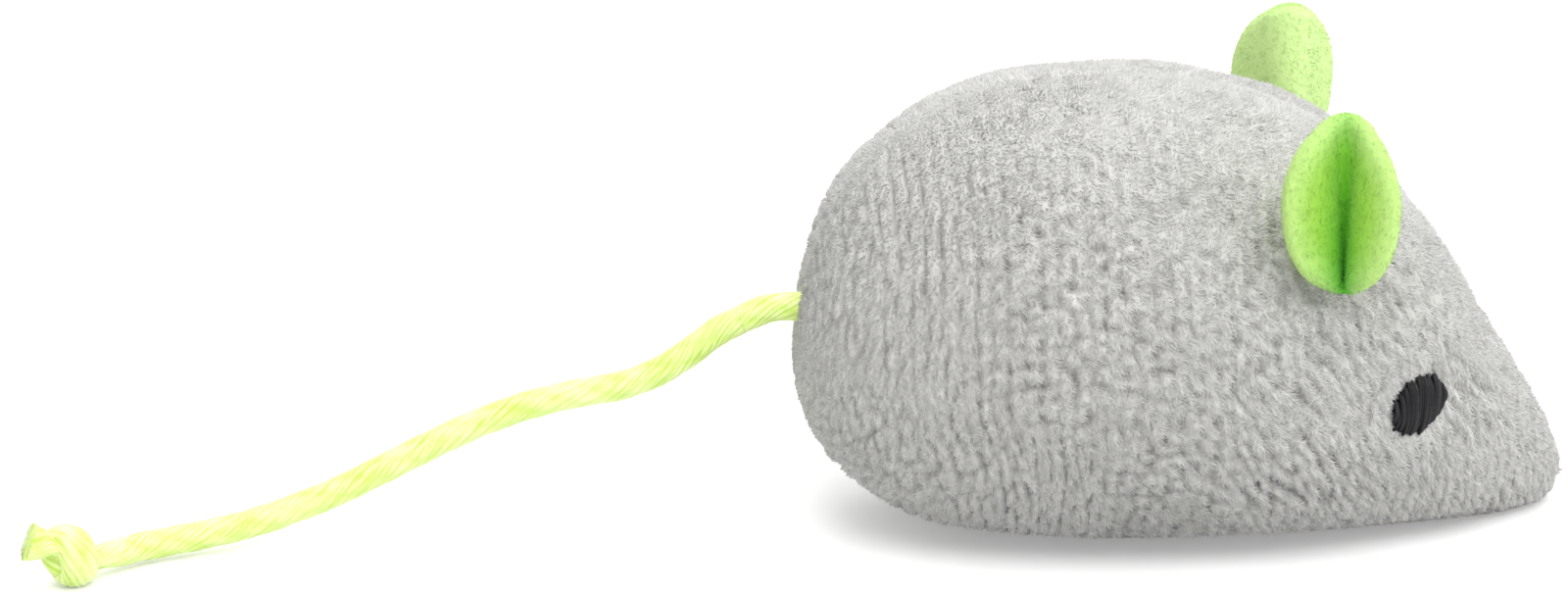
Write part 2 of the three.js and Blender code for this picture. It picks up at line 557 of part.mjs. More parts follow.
// Overhand knot: the cord runs in low, turns back as a belt once round itself, and runs out high through it
const knotEntry = tailPath.getPointAt(1);
const knotCentre = routePoint(KNOT_PLACE);
const travel = knotCentre.clone().sub(knotEntry);
const knotReach = travel.length();
travel.normalize();
const knotSide = UP.clone().cross(travel).normalize();
const knotUp = travel.clone().cross(knotSide);
const inKnot = (ahead, up, aside) => knotCentre.clone().addScaledVector(travel, ahead)
  .addScaledVector(knotUp, up).addScaledVector(knotSide, aside);
const belt = [];
for (let i = 0; i < BELT_POINTS; i += 1) {
  const share = i / (BELT_POINTS - 1);
  const angle = degToRad(lerp(KNOT_BELT_START_ANGLE, KNOT_BELT_END_ANGLE, share));
  const ahead = lerp(KNOT_BELT_PITCH / 2, -KNOT_BELT_PITCH / 2, share);
  belt.push(inKnot(ahead, KNOT_BELT_RADIUS * Math.cos(angle), KNOT_BELT_RADIUS * Math.sin(angle)));
}
const wayIn = [
  inKnot(-knotReach, 0, 0),
  inKnot(KNOT_TURN, -KNOT_STRAND_OFFSET, 0),
  belt.at(0),
];
const wayOut = [
  belt.at(-1),
  inKnot(-KNOT_TURN, KNOT_STRAND_OFFSET, 0),
  inKnot(STUB_LENGTH, 2 * KNOT_STRAND_OFFSET, 0),
];
let knot = solidOf(tube(belt, KNOT_CORD_DIAMETER, CORD_CORNERS, KNOT_BELT_RADIUS / 2));
for (const [start, turn, end] of [wayIn, wayOut]) {
  knot = knot.add(rod(start, turn, KNOT_CORD_DIAMETER, CORD_CORNERS))
    .add(ball(turn, KNOT_CORD_DIAMETER))
    .add(rod(turn, end, KNOT_CORD_DIAMETER, CORD_CORNERS));
}
for (const end of [belt.at(0), belt.at(-1)]) {
  knot = knot.add(ball(end, KNOT_CORD_DIAMETER));
}
const [, stubStart, stubEnd] = wayOut;
const stubLine = stubEnd.clone().sub(stubStart).normalize();
const flareRadii = [STUB_FLARE_DIAMETER / 2, KNOT_CORD_DIAMETER / 2];
const flare = new THREE.CylinderGeometry(...flareRadii, STUB_FLARE_LENGTH, CORD_CORNERS);
knot = knot.add(solidOf(stand(flare.rotateX(Math.PI / 2), stubEnd, stubLine, UP)));
addPiece('tail_knot', knot, SATIN);

export default mouse;
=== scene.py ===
"""A small catnip mouse: stuffed grey plush, folded felt ears, embroidered eyes and a knotted cord tail."""
import json

import bmesh
import bpy
import numpy as np
from mathutils import Matrix, Vector, noise


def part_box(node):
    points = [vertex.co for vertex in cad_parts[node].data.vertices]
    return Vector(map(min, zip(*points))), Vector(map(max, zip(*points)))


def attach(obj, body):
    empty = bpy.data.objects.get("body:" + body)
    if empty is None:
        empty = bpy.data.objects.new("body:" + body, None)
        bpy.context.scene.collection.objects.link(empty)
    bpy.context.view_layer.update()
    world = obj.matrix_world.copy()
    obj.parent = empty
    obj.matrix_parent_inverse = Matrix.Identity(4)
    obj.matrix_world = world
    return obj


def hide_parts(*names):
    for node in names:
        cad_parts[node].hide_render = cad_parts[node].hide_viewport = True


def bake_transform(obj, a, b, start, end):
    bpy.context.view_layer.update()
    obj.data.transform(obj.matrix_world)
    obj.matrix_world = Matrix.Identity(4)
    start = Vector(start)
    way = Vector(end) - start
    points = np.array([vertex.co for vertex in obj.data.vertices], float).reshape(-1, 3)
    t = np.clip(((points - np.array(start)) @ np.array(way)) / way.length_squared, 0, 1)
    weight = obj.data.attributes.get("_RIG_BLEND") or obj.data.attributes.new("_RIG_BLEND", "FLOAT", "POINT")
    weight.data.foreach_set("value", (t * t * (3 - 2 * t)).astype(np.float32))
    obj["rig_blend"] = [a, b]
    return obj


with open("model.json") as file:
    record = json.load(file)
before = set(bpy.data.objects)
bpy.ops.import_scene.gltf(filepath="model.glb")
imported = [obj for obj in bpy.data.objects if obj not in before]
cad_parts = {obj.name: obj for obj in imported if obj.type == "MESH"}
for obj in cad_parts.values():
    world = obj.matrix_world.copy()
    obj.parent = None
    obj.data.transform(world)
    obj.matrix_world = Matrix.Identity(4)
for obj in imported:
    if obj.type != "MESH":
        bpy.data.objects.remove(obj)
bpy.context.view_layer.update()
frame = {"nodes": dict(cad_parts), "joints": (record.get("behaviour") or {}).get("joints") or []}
MM = 0.001

# ------------------------------------------------------------
# Studio: the mouse stands on white paper under a broad soft box, with weaker lamps behind it and ahead
# of its snout, in even white surroundings. The camera sees its right side, from above and a bit behind.
# ------------------------------------------------------------
AZIMUTH, ELEVATION, DISTANCE, FRAME_LEFT, FRAME_RISE = np.radians(-5.5), np.radians(18.0), 420.0, 27.68, 14.88
FILM_WIDTH, FOCAL_PIXELS, FRAME_PIXELS = 36.0, 6069, 1600
FLOOR_REACH, FLOOR_GLOW, SKY_LIGHT, SKY_SEEN_MORE = 4, 0.3, 0.66, 0.34
LAMPS = {  # where each hangs and how wide it is, in metres, and its power in watts
    "soft_box": ((0.05, -0.45, 0.85), 0.8, 7.6),
    "back_light": ((0.1, 0.6, 0.7), 0.7, 4.2),
    "snout_light": ((0.8, -0.35, 0.4), 0.5, 2.0),
}
LIT_SPOT = Vector((0, 0, 0.015))
scene = bpy.context.scene
scene.view_settings.view_transform = "Standard"


class Wire:
    """An output socket of a node tree. Its operators add Math nodes, and node() adds any other."""

    def __init__(self, tree, socket=None):
        self.tree, self.socket = tree, socket

    def node(self, kind, sockets=None, output=0, **settings):
        """Adds a node: first its settings, then the values or links of its sockets, by name or place."""
        made = self.tree.nodes.new(kind)
        for name, value in settings.items():
            setattr(made, name, value)
        for place, value in (sockets or {}).items():
            if isinstance(value, Wire):
                self.tree.links.new(value.socket, made.inputs[place])
            else:
                made.inputs[place].default_value = value
        return Wire(self.tree, made.outputs[output] if len(made.outputs) else None)

    def math(self, operation, first, second=0.0):
        return self.node("ShaderNodeMath", {0: first, 1: second}, operation=operation)

    def __add__(self, other):
        return self.math("ADD", self, other)

    def __sub__(self, other):
        return self.math("SUBTRACT", self, other)

    def __mul__(self, other):
        return self.math("MULTIPLY", self, other)

    def __rsub__(self, other):
        return self.math("SUBTRACT", other, self)

    __radd__, __rmul__ = __add__, __mul__


# The name wires always stands for the tree that is being built, and small helpers add their nodes to it.
def new_material(name, **constants):
    """A material with one Principled shader: its constants are set, and its tree and shader returned."""
    material = bpy.data.materials.new(name)
    material.use_nodes = True
    shader = material.node_tree.nodes["Principled BSDF"]
    for place, value in constants.items():
        shader.inputs[place.replace("_", " ")].default_value = value
    return material, Wire(material.node_tree), shader


def feed(shader, place, wire):
    shader.id_data.links.new(wire.socket, shader.inputs[place])


def seen_directly():
    """1 for what is seen, also in a mirror or through glass, and 0 for what only throws light."""
    seen = wires.node("ShaderNodeLightPath", output="Is Camera Ray")
    for ray in ("Is Glossy Ray", "Is Transmission Ray"):
        seen = wires.math("MAXIMUM", seen, wires.node("ShaderNodeLightPath", output=ray))
    return seen


back = np.array([np.sin(AZIMUTH) * np.cos(ELEVATION), -np.cos(AZIMUTH) * np.cos(ELEVATION), np.sin(ELEVATION)])
right = np.array([np.cos(AZIMUTH), np.sin(AZIMUTH), 0.0])
up = np.cross(back, right)
place = (DISTANCE * back - FRAME_LEFT * right + FRAME_RISE * up) * MM
lens = bpy.data.cameras.new("photograph_camera")
lens.sensor_fit, lens.sensor_width, lens.clip_start = "HORIZONTAL", FILM_WIDTH, 0.01
lens.lens = FILM_WIDTH * FOCAL_PIXELS / FRAME_PIXELS
camera = bpy.data.objects.new("photograph_camera", lens)
camera.matrix_world = Matrix([[*row, at] for row, at in zip(np.array([right, up, back]).T, place)] + [[0, 0, 0, 1]])
scene.collection.objects.link(camera)
scene.camera = camera

floor_mesh = bpy.data.meshes.new("paper_floor")
floor_corners = [(x * FLOOR_REACH, y * FLOOR_REACH, 0) for x, y in [(-1, -1), (1, -1), (1, 1), (-1, 1)]]
floor_mesh.from_pydata(floor_corners, [], [(0, 1, 2, 3)])
floor = bpy.data.objects.new("paper_floor", floor_mesh)
scene.collection.objects.link(floor)
paper, wires, shader = new_material("white_paper", Base_Color=(0.8, 0.8, 0.8, 1), Roughness=0.9,
                                    Specular_IOR_Level=0.0, Emission_Strength=1.0)
feed(shader, "Emission Color", seen_directly() * FLOOR_GLOW)
floor_mesh.materials.append(paper)

world = bpy.data.worlds.new("white_surroundings")
world.use_nodes = True
scene.world = world
wires, sky = Wire(world.node_tree), world.node_tree.nodes["Background"]
sky.inputs["Color"].default_value = (1, 1, 1, 1)
feed(sky, "Strength", seen_directly() * SKY_SEEN_MORE + SKY_LIGHT)

for name, (at, size, power) in LAMPS.items():
    lamp = bpy.data.lights.new(name, "AREA")
    lamp.size, lamp.energy = size, power
    holder = bpy.data.objects.new(name, lamp)
    holder.location = at
    holder.rotation_euler = (LIT_SPOT - Vector(at)).to_track_quat("-Z", "Y").to_euler()
    scene.collection.objects.link(holder)

# ------------------------------------------------------------
# Tail: a two-millimetre satin cord, braided from shiny neon-yellow yarns. Its inner end is sewn into
# the rump seam. It falls to the floor, and an overhand knot stops its cut, flattened outer end.
# ------------------------------------------------------------
CORD_RADIUS, KNOT_CORD_RADIUS, CORD_SIDES, ROW_STEP = 1.0, 0.86, 72, 0.1
YARNS, YARN_SLANT, YARN_RELIEF, FRAY, FRAY_ROWS = 13.0, 1.05, 0.13, 0.12, 4
TAIL_EXIT = np.array([-27.273, 0.0, 15.8])
SWING_PIVOT = np.array([-28.573, 0.0, 15.8])
TAIL_ROUTE = [  # behind the exit, to the left, above the floor
    (3.2, 0, 15.1), (4.9, 0, 14.3), (7.7, 0, 12.3), (9.2, 0, 11.4), (11.2, 0, 10.6), (15.7, 0, 9.8),
    (18.4, -0.1, 9.2), (21.2, -0.2, 8.3), (25.2, -0.4, 6.6), (28, -0.6, 5.3), (32.1, -1, 3.5), (34.8, -1.4, 2.6),
    (37.5, -1.9, 1.9), (41.5, -2.9, 1.4), (45.5, -4.5, 1.3),
]
KNOT_CENTRE = np.array([-77.373, -8.0, 2.15])
KNOT_WAY = [  # ahead, up and to the front of the knot's centre: in, round as a belt, and out through it
    (-2.4, -0.35, 0), (-1.0, -0.45, -0.1), (-0.1, -0.55, 0.0), (0.68, -0.6, 0.0), (0.95, -0.1, -0.6),
    (0.7, 0.75, -0.85), (0.45, 1.38, -0.1), (0.32, 0.95, 0.85), (0.1, 0.05, 1.15), (-0.15, -0.85, 0.95),
    (-0.36, -1.38, 0.15), (-0.45, -1.1, -0.7), (-0.5, -0.3, -1.2), (-0.65, 0.5, -1.0), (-0.8, 0.75, -0.4),
    (-0.4, 0.45, 0.05), (0.4, 0.35, 0.15), (1.3, 0.62, 0.2), (2.4, 1.0, 0.1), (3.65, 1.35, 0),
]
BELT_POINTS = 4, 12  # the first and last point of that way that lie in the belt


def travelled(line):
    """How far along a line each of its points is."""
    return np.concatenate([[0], np.cumsum(np.linalg.norm(np.diff(line, axis=0), axis=1))])


def unit(vectors):
    """The same directions, each one long."""
    return vectors / np.maximum(np.linalg.norm(vectors, axis=-1, keepdims=True), 1e-9)


def smooth_line(points, step):
    """A smooth line through points, given at even steps along it."""
    points = np.array(points, float)
    at = travelled(points)
    gaps, slopes = np.diff(at), np.gradient(points, at, axis=0)
    fine = np.linspace(0, at[-1], 4000)
    i = np.clip(np.searchsorted(at, fine, side="right") - 1, 0, len(gaps) - 1)
    u, gap = ((fine - at[i]) / gaps[i])[:, None], gaps[i][:, None]
    line = ((1 + 2 * u) * (1 - u) ** 2 * points[i] + u * (1 - u) ** 2 * gap * slopes[i]
            + u ** 2 * (3 - 2 * u) * points[i + 1] + u ** 2 * (u - 1) * gap * slopes[i + 1])
    along = travelled(line)
    even = np.linspace(0, along[-1], int(round(along[-1] / step)) + 1)
    return np.stack([np.interp(even, along, line[:, k]) for k in range(3)], 1), even


def smooth_share(low, high, value):
    """Goes smoothly from 0 at low to 1 at high."""
    share = np.clip((value - low) / (high - low), 0, 1)
    return share * share * (3 - 2 * share)


def new_piece(name, points, faces, material):
    """A smooth mesh object at the origin from points in millimetres."""
    mesh = bpy.data.meshes.new(name)
    mesh.from_pydata((np.asarray(points) * MM).tolist(), [], faces)
    mesh.update()
    mesh.shade_smooth()
    mesh.materials.append(material)
    made = bpy.data.objects.new(name, mesh)
    scene.collection.objects.link(made)
    return made


def store(mesh, name, values):
    """Keeps one number or vector for each vertex."""
    values = np.asarray(values, np.float32)
    kind, field = ("FLOAT", "value") if values.ndim == 1 else ("FLOAT_VECTOR", "vector")
    mesh.attributes.new(name, kind, "POINT").data.foreach_set(field, values.ravel())


tail_points = [TAIL_EXIT + (6.0, 0, 0), TAIL_EXIT + (3.0, 0, 0), TAIL_EXIT, SWING_PIVOT]
tail_points += [np.array([TAIL_EXIT[0] - behind, left, height]) for behind, left, height in TAIL_ROUTE]
end_way = unit(KNOT_CENTRE - tail_points[-1])
front = unit(np.cross((0, 0, 1), end_way))
above = np.cross(end_way, front)
knot_points = [KNOT_CENTRE + ahead * end_way + rise * above + fore * front for ahead, rise, fore in KNOT_WAY]
tail_line, tail_at = smooth_line(tail_points + knot_points, ROW_STEP)


def row_near(point):
    """The row of the tail's line that is nearest to a point."""
    return int(np.argmin(np.linalg.norm(tail_line - point, axis=1)))


def satin_lay(around, along):
    """How high the yarns stand: thirteen lie side by side on a slant, and dip under a few that cross them."""
    wobble = 0.5 * np.sin(along * 1.7 + 4 * np.pi * around) + 0.35 * np.sin(along * 0.9 + 1.3)
    lay = YARNS * around + along * YARN_SLANT + 0.7 * wobble
    crossing = YARNS * around - along * YARN_SLANT
    crown = np.sqrt(np.clip(1 - (2 * (lay % 1.0) - 1) ** 2, 0, 1))
    dip = (np.sin(np.pi * crossing / 3.0) ** 2) ** 0.6
    return crown * (0.55 + 0.45 * dip)


swing_row, knot_row = row_near(SWING_PIVOT), row_near(knot_points[0])
tangents = unit(np.gradient(tail_line, axis=0))
side, sides = np.array([0.0, 1.0, 0.0]), []
for tangent in tangents:  # the cross-section is carried along without twist
    side = unit(side - tangent * (side @ tangent))
    sides.append(side)
sides = np.array(sides)
others = np.cross(tangents, sides)
turn = np.arange(CORD_SIDES) / CORD_SIDES
relief = satin_lay(turn[None, :], tail_at[:, None])

# The cord is drawn thinner in the knot. There its belt is pressed flat and wide, and past a neck the cut
# end spreads up and down.
left_over = (tail_at[-1] - tail_at)[:, None]
thin = smooth_share(tail_at[knot_row] - 2.5, tail_at[knot_row], tail_at)[:, None]
radius = CORD_RADIUS + (KNOT_CORD_RADIUS - CORD_RADIUS) * thin
flare = np.clip(1 - left_over / 2.2, 0, 1) ** 1.4
neck = np.exp(-((left_over - 2.1) / 0.6) ** 2)
belt_from, belt_to = (tail_at[row_near(knot_points[n])] for n in BELT_POINTS)
belt = smooth_share(belt_from, belt_from + 1.6, tail_at) * smooth_share(belt_to + 0.6, belt_to - 1.2, tail_at)
belt = belt[:, None]
wide = radius * (1 + 0.6 * flare + 0.7 * belt - 0.4 * neck)
flat = radius * (1 - 0.35 * flare - 0.05 * belt - 0.1 * neck)
broad = np.where(belt > 0.01, end_way, above)
spread = np.arctan2(np.sum(others * broad, 1), np.sum(sides * broad, 1))[:, None]
angle = 2 * np.pi * turn[None, :] - spread
reach_a, reach_b = wide * np.cos(angle), flat * np.sin(angle)
shape_a = reach_a * np.cos(spread) - reach_b * np.sin(spread)
shape_b = reach_a * np.sin(spread) + reach_b * np.cos(spread)
bulge = 1 + YARN_RELIEF * (relief - 0.7) / radius
tail_skin = shape_a[..., None] * sides[:, None] + shape_b[..., None] * others[:, None]
tail_skin = tail_line[:, None] + bulge[..., None] * tail_skin
rng = np.random.default_rng(5)
fray = rng.uniform(-FRAY, FRAY, CORD_SIDES)
fray = (fray + np.roll(fray, 1)) / 2
for row in range(FRAY_ROWS):  # the cut is uneven
    tail_skin[-1 - row] += (fray * (1 - row / FRAY_ROWS))[:, None] * tangents[-1 - row]
tail_skin[..., 2] = np.maximum(tail_skin[..., 2], 0.02)  # pressed flat where the knot rests on the floor


def separate(whole, part):
    return wires.node("ShaderNodeSeparateXYZ", {0: whole}, part)


def combine(x, y, z=0.0):
    return wires.node("ShaderNodeCombineXYZ", {0: x, 1: y, 2: z})


def coordinates(kind):
    return wires.node("ShaderNodeTexCoord", output=kind)


def stored(name):
    """A number that is kept on the mesh."""
    return wires.node("ShaderNodeAttribute", output="Fac", attribute_name=name)


def fine_noise(spot, scale, detail, rough=0.5):
    return wires.node("ShaderNodeTexNoise", {"Vector": spot, "Scale": scale, "Detail": detail, "Roughness": rough})


def mixed(share, first, second, **settings):
    """A colour between two others."""
    return wires.node("ShaderNodeMix", {0: share, 6: first, 7: second}, 2, data_type="RGBA", **settings)


def bump(height, distance, strength):
    return wires.node("ShaderNodeBump", {"Height": height, "Distance": distance, "Strength": strength})


satin, wires, shader = new_material("neon_satin_cord", Roughness=0.38, Specular_IOR_Level=0.8, Coat_Weight=0.2,
                                    Coat_Roughness=0.35, Sheen_Weight=0.35, Sheen_Roughness=0.4)
on_cord = coordinates("UV")
along = separate(on_cord, 1) * float(tail_at[-1])
slant = combine((separate(on_cord, 0) * YARNS + along * YARN_SLANT) * 2.6, along * 0.35)
strand = fine_noise(slant, 1.0, 3.0, 0.6)
highlight_patch = fine_noise(coordinates("Object"), 420.0, 2.0)
# Painted light: the colour is lighter on the yarns' crests, along noisy streaks and in patches, standing in for the
# satin's highlights, and darker between the yarns, painted shade in the valleys.
light = wires.node("ShaderNodeMapRange", {"Value": stored("yarn") * 0.45 + strand * 1.5 + highlight_patch * 0.8,
                                          "From Min": 1.0, "From Max": 1.85})
feed(shader, "Base Color", mixed(light, (0.47, 0.72, 0.015, 1), (0.88, 0.97, 0.45, 1)))
feed(shader, "Normal", bump(strand, 0.00005, 0.7))


def ring_faces(near, far, count):
    """The faces between two rings of points, which start at near and at far."""
    return [(near + j, near + (j + 1) % count, far + (j + 1) % count, far + j) for j in range(count)]


def cord_piece(name, first, last):
    """The stretch of cord between two rows, closed at both ends."""
    rows = last - first + 1
    points = np.concatenate([tail_skin[first:last + 1].reshape(-1, 3), [tail_line[first], tail_line[last]]])
    faces = []
    for row in range(rows - 1):
        faces += ring_faces((row + 1) * CORD_SIDES, row * CORD_SIDES, CORD_SIDES)
    tip, end = rows * CORD_SIDES, (rows - 1) * CORD_SIDES
    faces += [(tip, j, (j + 1) % CORD_SIDES) for j in range(CORD_SIDES)]
    faces += [(end + j, tip + 1, end + (j + 1) % CORD_SIDES) for j in range(CORD_SIDES)]
    made = new_piece(name, points, faces, satin)
    store(made.data, "yarn", np.concatenate([relief[first:last + 1].ravel(), [0.6, 0.6]]))
    # The map runs once around the cord and along it. A face over the join takes the far edge of the map.
    corners = np.array([c for face in faces for c in face])
    around = np.minimum(corners, tip - 1) % CORD_SIDES
    whose = np.repeat(np.arange(len(faces)), [len(face) for face in faces])
    for_face = np.zeros(len(faces), int)
    np.maximum.at(for_face, whose, around)
    around = np.where((around == 0) & (for_face[whose] == CORD_SIDES - 1), CORD_SIDES, around) / CORD_SIDES
    along = tail_at[np.clip(first + np.minimum(corners, tip - 1) // CORD_SIDES, 0, len(tail_at) - 1)] / tail_at[-1]
    uv = made.data.uv_layers.new(name="UVMap")
    uv.data.foreach_set("uv", np.stack([around, along], 1).astype(np.float32).ravel())
    return made


split_row = swing_row + 24  # the rows are a tenth of a millimetre apart
tail_root = cord_piece("tail_root_cord", 0, split_row)
tail_cord = cord_piece("tail_cord_braid", split_row, len(tail_line) - 1)
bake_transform(tail_root, "plush_body", "tail_root", tail_line[swing_row - 15] * MM, tail_line[swing_row + 20] * MM)
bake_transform(tail_cord, "tail_root", "tail", tail_line[swing_row + 27] * MM, tail_line[swing_row + 96] * MM)
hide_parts("tail_root")
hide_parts("tail_cord", "tail_knot")

# ------------------------------------------------------------
# Body cover: two side panels and a belly panel of short-pile plush, sewn inside out along the spine
# and round the belly, turned and stuffed tight. The knit shows as ribs of tufts under the pile.
# ------------------------------------------------------------
PILE_DEPTH, FIBRE_LENGTH, FIBRE_WIDTH, FIBRES, FIBRE_LEAN = 0.68, 0.42, 0.12, 40e6, 1.4
SKIN_DEPTH, SKIN_THICKNESS, SKIN_CELL, SIDE_COLUMNS, BELLY_COLUMNS = 0.85, 0.7, 0.41, 104, 28
BODY_WIDTH, BODY_HEIGHT, RUMP_X, NOSE_X, CREST_X, WIDEST_X = 32.0, 32.3, -27.4, 27.4, -6.9, -2.4
RUMP_HEIGHT, NOSE_HEIGHT, SNOUT_WIDTH, BELLY_LEVEL, BELLY_SEAM_LEVEL = 12.9, 1.9, 5.1, 0.0, 1.7
TOP_FULL, LOW_FULL = 2.1, 2.3  # how square the cross-section is above and below its axis
NOSE_SHARE, FLOOR_SHARE = 0.55, 0.45  # how much of an inset the nose and the flat of the belly take
LUMP, BRIDGE_X, BRIDGE_DENT, SEAM_DIP, LOWEST_SKIN = 0.32, 21.3, 0.42, 0.4, 0.35
SWELL, SWELL_SCALE, SWELL_FRAMES = 0.45, 10, 20
RIB_PITCH, TUFT_PITCH = 1.08, 1.25


def fullness(share, power):
    return np.maximum(0, 1 - share ** power) ** (1 / power)


def squared(value, power):
    """A sine or cosine made fuller or leaner, with its sign kept."""
    return np.sign(value) * np.abs(value) ** power


def body_section(x, inset):
    """Axis height, rise, drop and half width of the body at x, drawn in by inset."""
    rump, nose = RUMP_X + inset, NOSE_X - NOSE_SHARE * inset
    behind = np.clip((CREST_X - x) / (CREST_X - rump), 0, 1)
    behind_widest = np.clip((WIDEST_X - x) / (WIDEST_X - rump), 0, 1)
    ahead = np.clip((x - CREST_X) / (nose - CREST_X), 0, 1)
    ahead_widest = np.clip((x - WIDEST_X) / (nose - WIDEST_X), 0, 1)
    tip = np.sqrt(1 - ahead ** 30)
    brow = 1 - 8.1 / (NOSE_X - CREST_X)
    fall = np.minimum(ahead, brow) ** 3 + 3 * brow ** 2 * np.maximum(0, ahead - brow)
    axis = RUMP_HEIGHT + (NOSE_HEIGHT - RUMP_HEIGHT) * ahead ** 1.5
    rise = ((BODY_HEIGHT - inset) * (1 - fall) - axis) * tip * fullness(behind, 2.25)
    drop = (axis - BELLY_LEVEL - FLOOR_SHARE * inset + 0.5) * tip * fullness(behind_widest, 2.65)
    half = (BODY_WIDTH / 2 - inset) * (1 + (SNOUT_WIDTH / BODY_WIDTH - 1) * ahead_widest ** 2)
    return axis, rise, drop, half * tip * fullness(behind_widest, 2.3)


def body_point(x, angle, inset):
    """A point of the skin: angle 0 is the left flank and a quarter turn the spine."""
    axis, rise, drop, half = body_section(x, inset)
    c, s = np.cos(angle), np.sin(angle)
    power = np.where(s >= 0, 2 / TOP_FULL, 2 / LOW_FULL)
    z = axis + np.where(s >= 0, rise, drop) * squared(s, power)
    return np.stack(np.broadcast_arrays(x, half * squared(c, power),
                                        np.maximum(z, BELLY_LEVEL + FLOOR_SHARE * inset)), -1)


COLUMNS, SPINE = SIDE_COLUMNS + BELLY_COLUMNS, SIDE_COLUMNS // 2
middle_x = (RUMP_X + NOSE_X + SKIN_DEPTH - NOSE_SHARE * SKIN_DEPTH) / 2
half_length = (NOSE_X - RUMP_X - (1 + NOSE_SHARE) * SKIN_DEPTH) / 2
fine_x = middle_x - np.cos(np.linspace(0, np.pi, 3000)) * half_length
flank_at = travelled(body_point(fine_x, np.zeros(1), SKIN_DEPTH))
row_at = np.linspace(0, flank_at[-1], int(flank_at[-1] / SKIN_CELL) + 1)[1:-1]
row_x = np.interp(row_at, flank_at, fine_x)
axis, rise, drop, half = body_section(row_x, SKIN_DEPTH)
seam_angle = np.arcsin(np.clip((axis - BELLY_SEAM_LEVEL) / np.maximum(drop, 0.01), 0.1, 0.985) ** (LOW_FULL / 2))
column = np.arange(COLUMNS)
top_share = np.minimum(column / SIDE_COLUMNS, 1)[None, :]
low_share = np.maximum((column - SIDE_COLUMNS) / BELLY_COLUMNS, 0)[None, :]
angles = (-seam_angle[:, None] + top_share * (np.pi + 2 * seam_angle[:, None])
          + low_share * (np.pi - 2 * seam_angle[:, None]))
skin = body_point(row_x[:, None], angles, SKIN_DEPTH)
INNER_ROWS = len(row_x)
poles = np.array([[RUMP_X + SKIN_DEPTH, 0, RUMP_HEIGHT], [NOSE_X - NOSE_SHARE * SKIN_DEPTH, 0, NOSE_HEIGHT]])


def ring_step(grid):
    """From each point to the next one round the body."""
    return (np.roll(grid, -1, 1) - np.roll(grid, 1, 1)) / 2


def row_step(grid):
    """From each point to the next one towards the nose."""
    ends = [np.broadcast_to(pole, grid[:1].shape) for pole in poles]
    whole = np.concatenate([ends[0], grid, ends[1]])
    return (whole[2:] - whole[:-2]) / 2


def skin_normals(grid):
    """The way out of the skin at each point, which is upwards on the spine."""
    out = unit(np.cross(ring_step(grid), row_step(grid)))
    return out * np.sign(np.mean(out[:, SPINE, 2]))


def noise_over(grid, size, shift=(0, 0, 0)):
    """Smooth noise at each point, with lumps of about the given size."""
    return np.array([[noise.noise(Vector(p) / size + Vector(shift)) for p in ring] for ring in grid.tolist()])


# The stuffing leaves soft lumps, and the cover dips over the bridge of the snout.
normals = skin_normals(skin)
lumps = noise_over(skin, 8.5, (3.1, 0.4, 7.7)) + 0.5 * noise_over(skin, 4.0)
bridge = np.exp(-((skin[..., 0] - BRIDGE_X) / 3.0) ** 2) * np.clip(normals[..., 2] * 1.6 - 0.1, 0, 1)
free = np.clip(skin[..., 2] / 3.0, 0, 1)
skin += normals * (LUMP * lumps * free - BRIDGE_DENT * bridge)[..., None]

faces = []
for row in range(INNER_ROWS - 1):
    faces += ring_faces(row * COLUMNS, (row + 1) * COLUMNS, COLUMNS)
pole_at = INNER_ROWS * COLUMNS
panel_columns = ["left"] * SPINE + ["right"] * SPINE + ["belly"] * BELLY_COLUMNS
panels = panel_columns * (INNER_ROWS - 1)
for j, panel in enumerate(panel_columns):
    k = (j + 1) % COLUMNS
    faces += [(pole_at, k, j), (pole_at + 1, pole_at - COLUMNS + j, pole_at - COLUMNS + k)]
    panels += [panel] * 2
skin_points = np.concatenate([skin.reshape(-1, 3), poles])
a, b, c = (skin_points[[face[n] for face in faces]] for n in range(3))
if np.mean(np.cross(b - a, c - a) * (a - (0, 0, 12))) < 0:  # faces point away from a spot inside the body
    faces = [face[::-1] for face in faces]

swollen = new_piece("swelling_cover", skin_points * SWELL_SCALE, faces, bpy.data.materials.new("swelling"))
held = swollen.vertex_groups.new(name="sewn")
sewn = [row * COLUMNS + j for row in range(INNER_ROWS) for j in (0, SPINE, SIDE_COLUMNS)]
held.add(sewn + [pole_at, pole_at + 1], 1.0, "REPLACE")
cloth = swollen.modifiers.new("stuffing", "CLOTH")
cloth.settings.quality, cloth.settings.use_pressure, cloth.settings.uniform_pressure_force = 4, True, 4.0
cloth.settings.vertex_group_mass = held.name
cloth.settings.effector_weights.gravity = 0
cloth.point_cache.frame_start, cloth.point_cache.frame_end = 1, SWELL_FRAMES
for number in range(1, SWELL_FRAMES + 1):
    scene.frame_set(number)
evaluated = swollen.evaluated_get(bpy.context.evaluated_depsgraph_get()).to_mesh()
settled = np.zeros(len(skin_points) * 3, np.float32)
evaluated.vertices.foreach_get("co", settled)
moved = settled.reshape(-1, 3) / (SWELL_SCALE * MM) - skin_points
far = np.linalg.norm(moved, axis=1)
moved *= (SWELL * np.tanh(far / SWELL) / np.maximum(far, 1e-6))[:, None]
moved[:, 2] = np.maximum(moved[:, 2], LOWEST_SKIN - skin_points[:, 2])
skin_points = skin_points + moved
scene.frame_set(1)
bpy.data.objects.remove(swollen)
skin = skin_points[:-2].reshape(INNER_ROWS, COLUMNS, 3)
poles = skin_points[-2:]
normals = skin_normals(skin)
from_spine = np.cumsum(np.linalg.norm(np.diff(skin, axis=1, prepend=skin[:, -1:]), axis=-1), axis=1)
from_spine = np.abs(from_spine - from_spine[:, SPINE][:, None])
to_seam = np.min([np.abs(from_spine - from_spine[:, j][:, None]) for j in (SPINE, SIDE_COLUMNS)], axis=0)
skin = skin - normals * (SEAM_DIP * np.exp(-(to_seam / 0.55) ** 2) * free)[..., None]

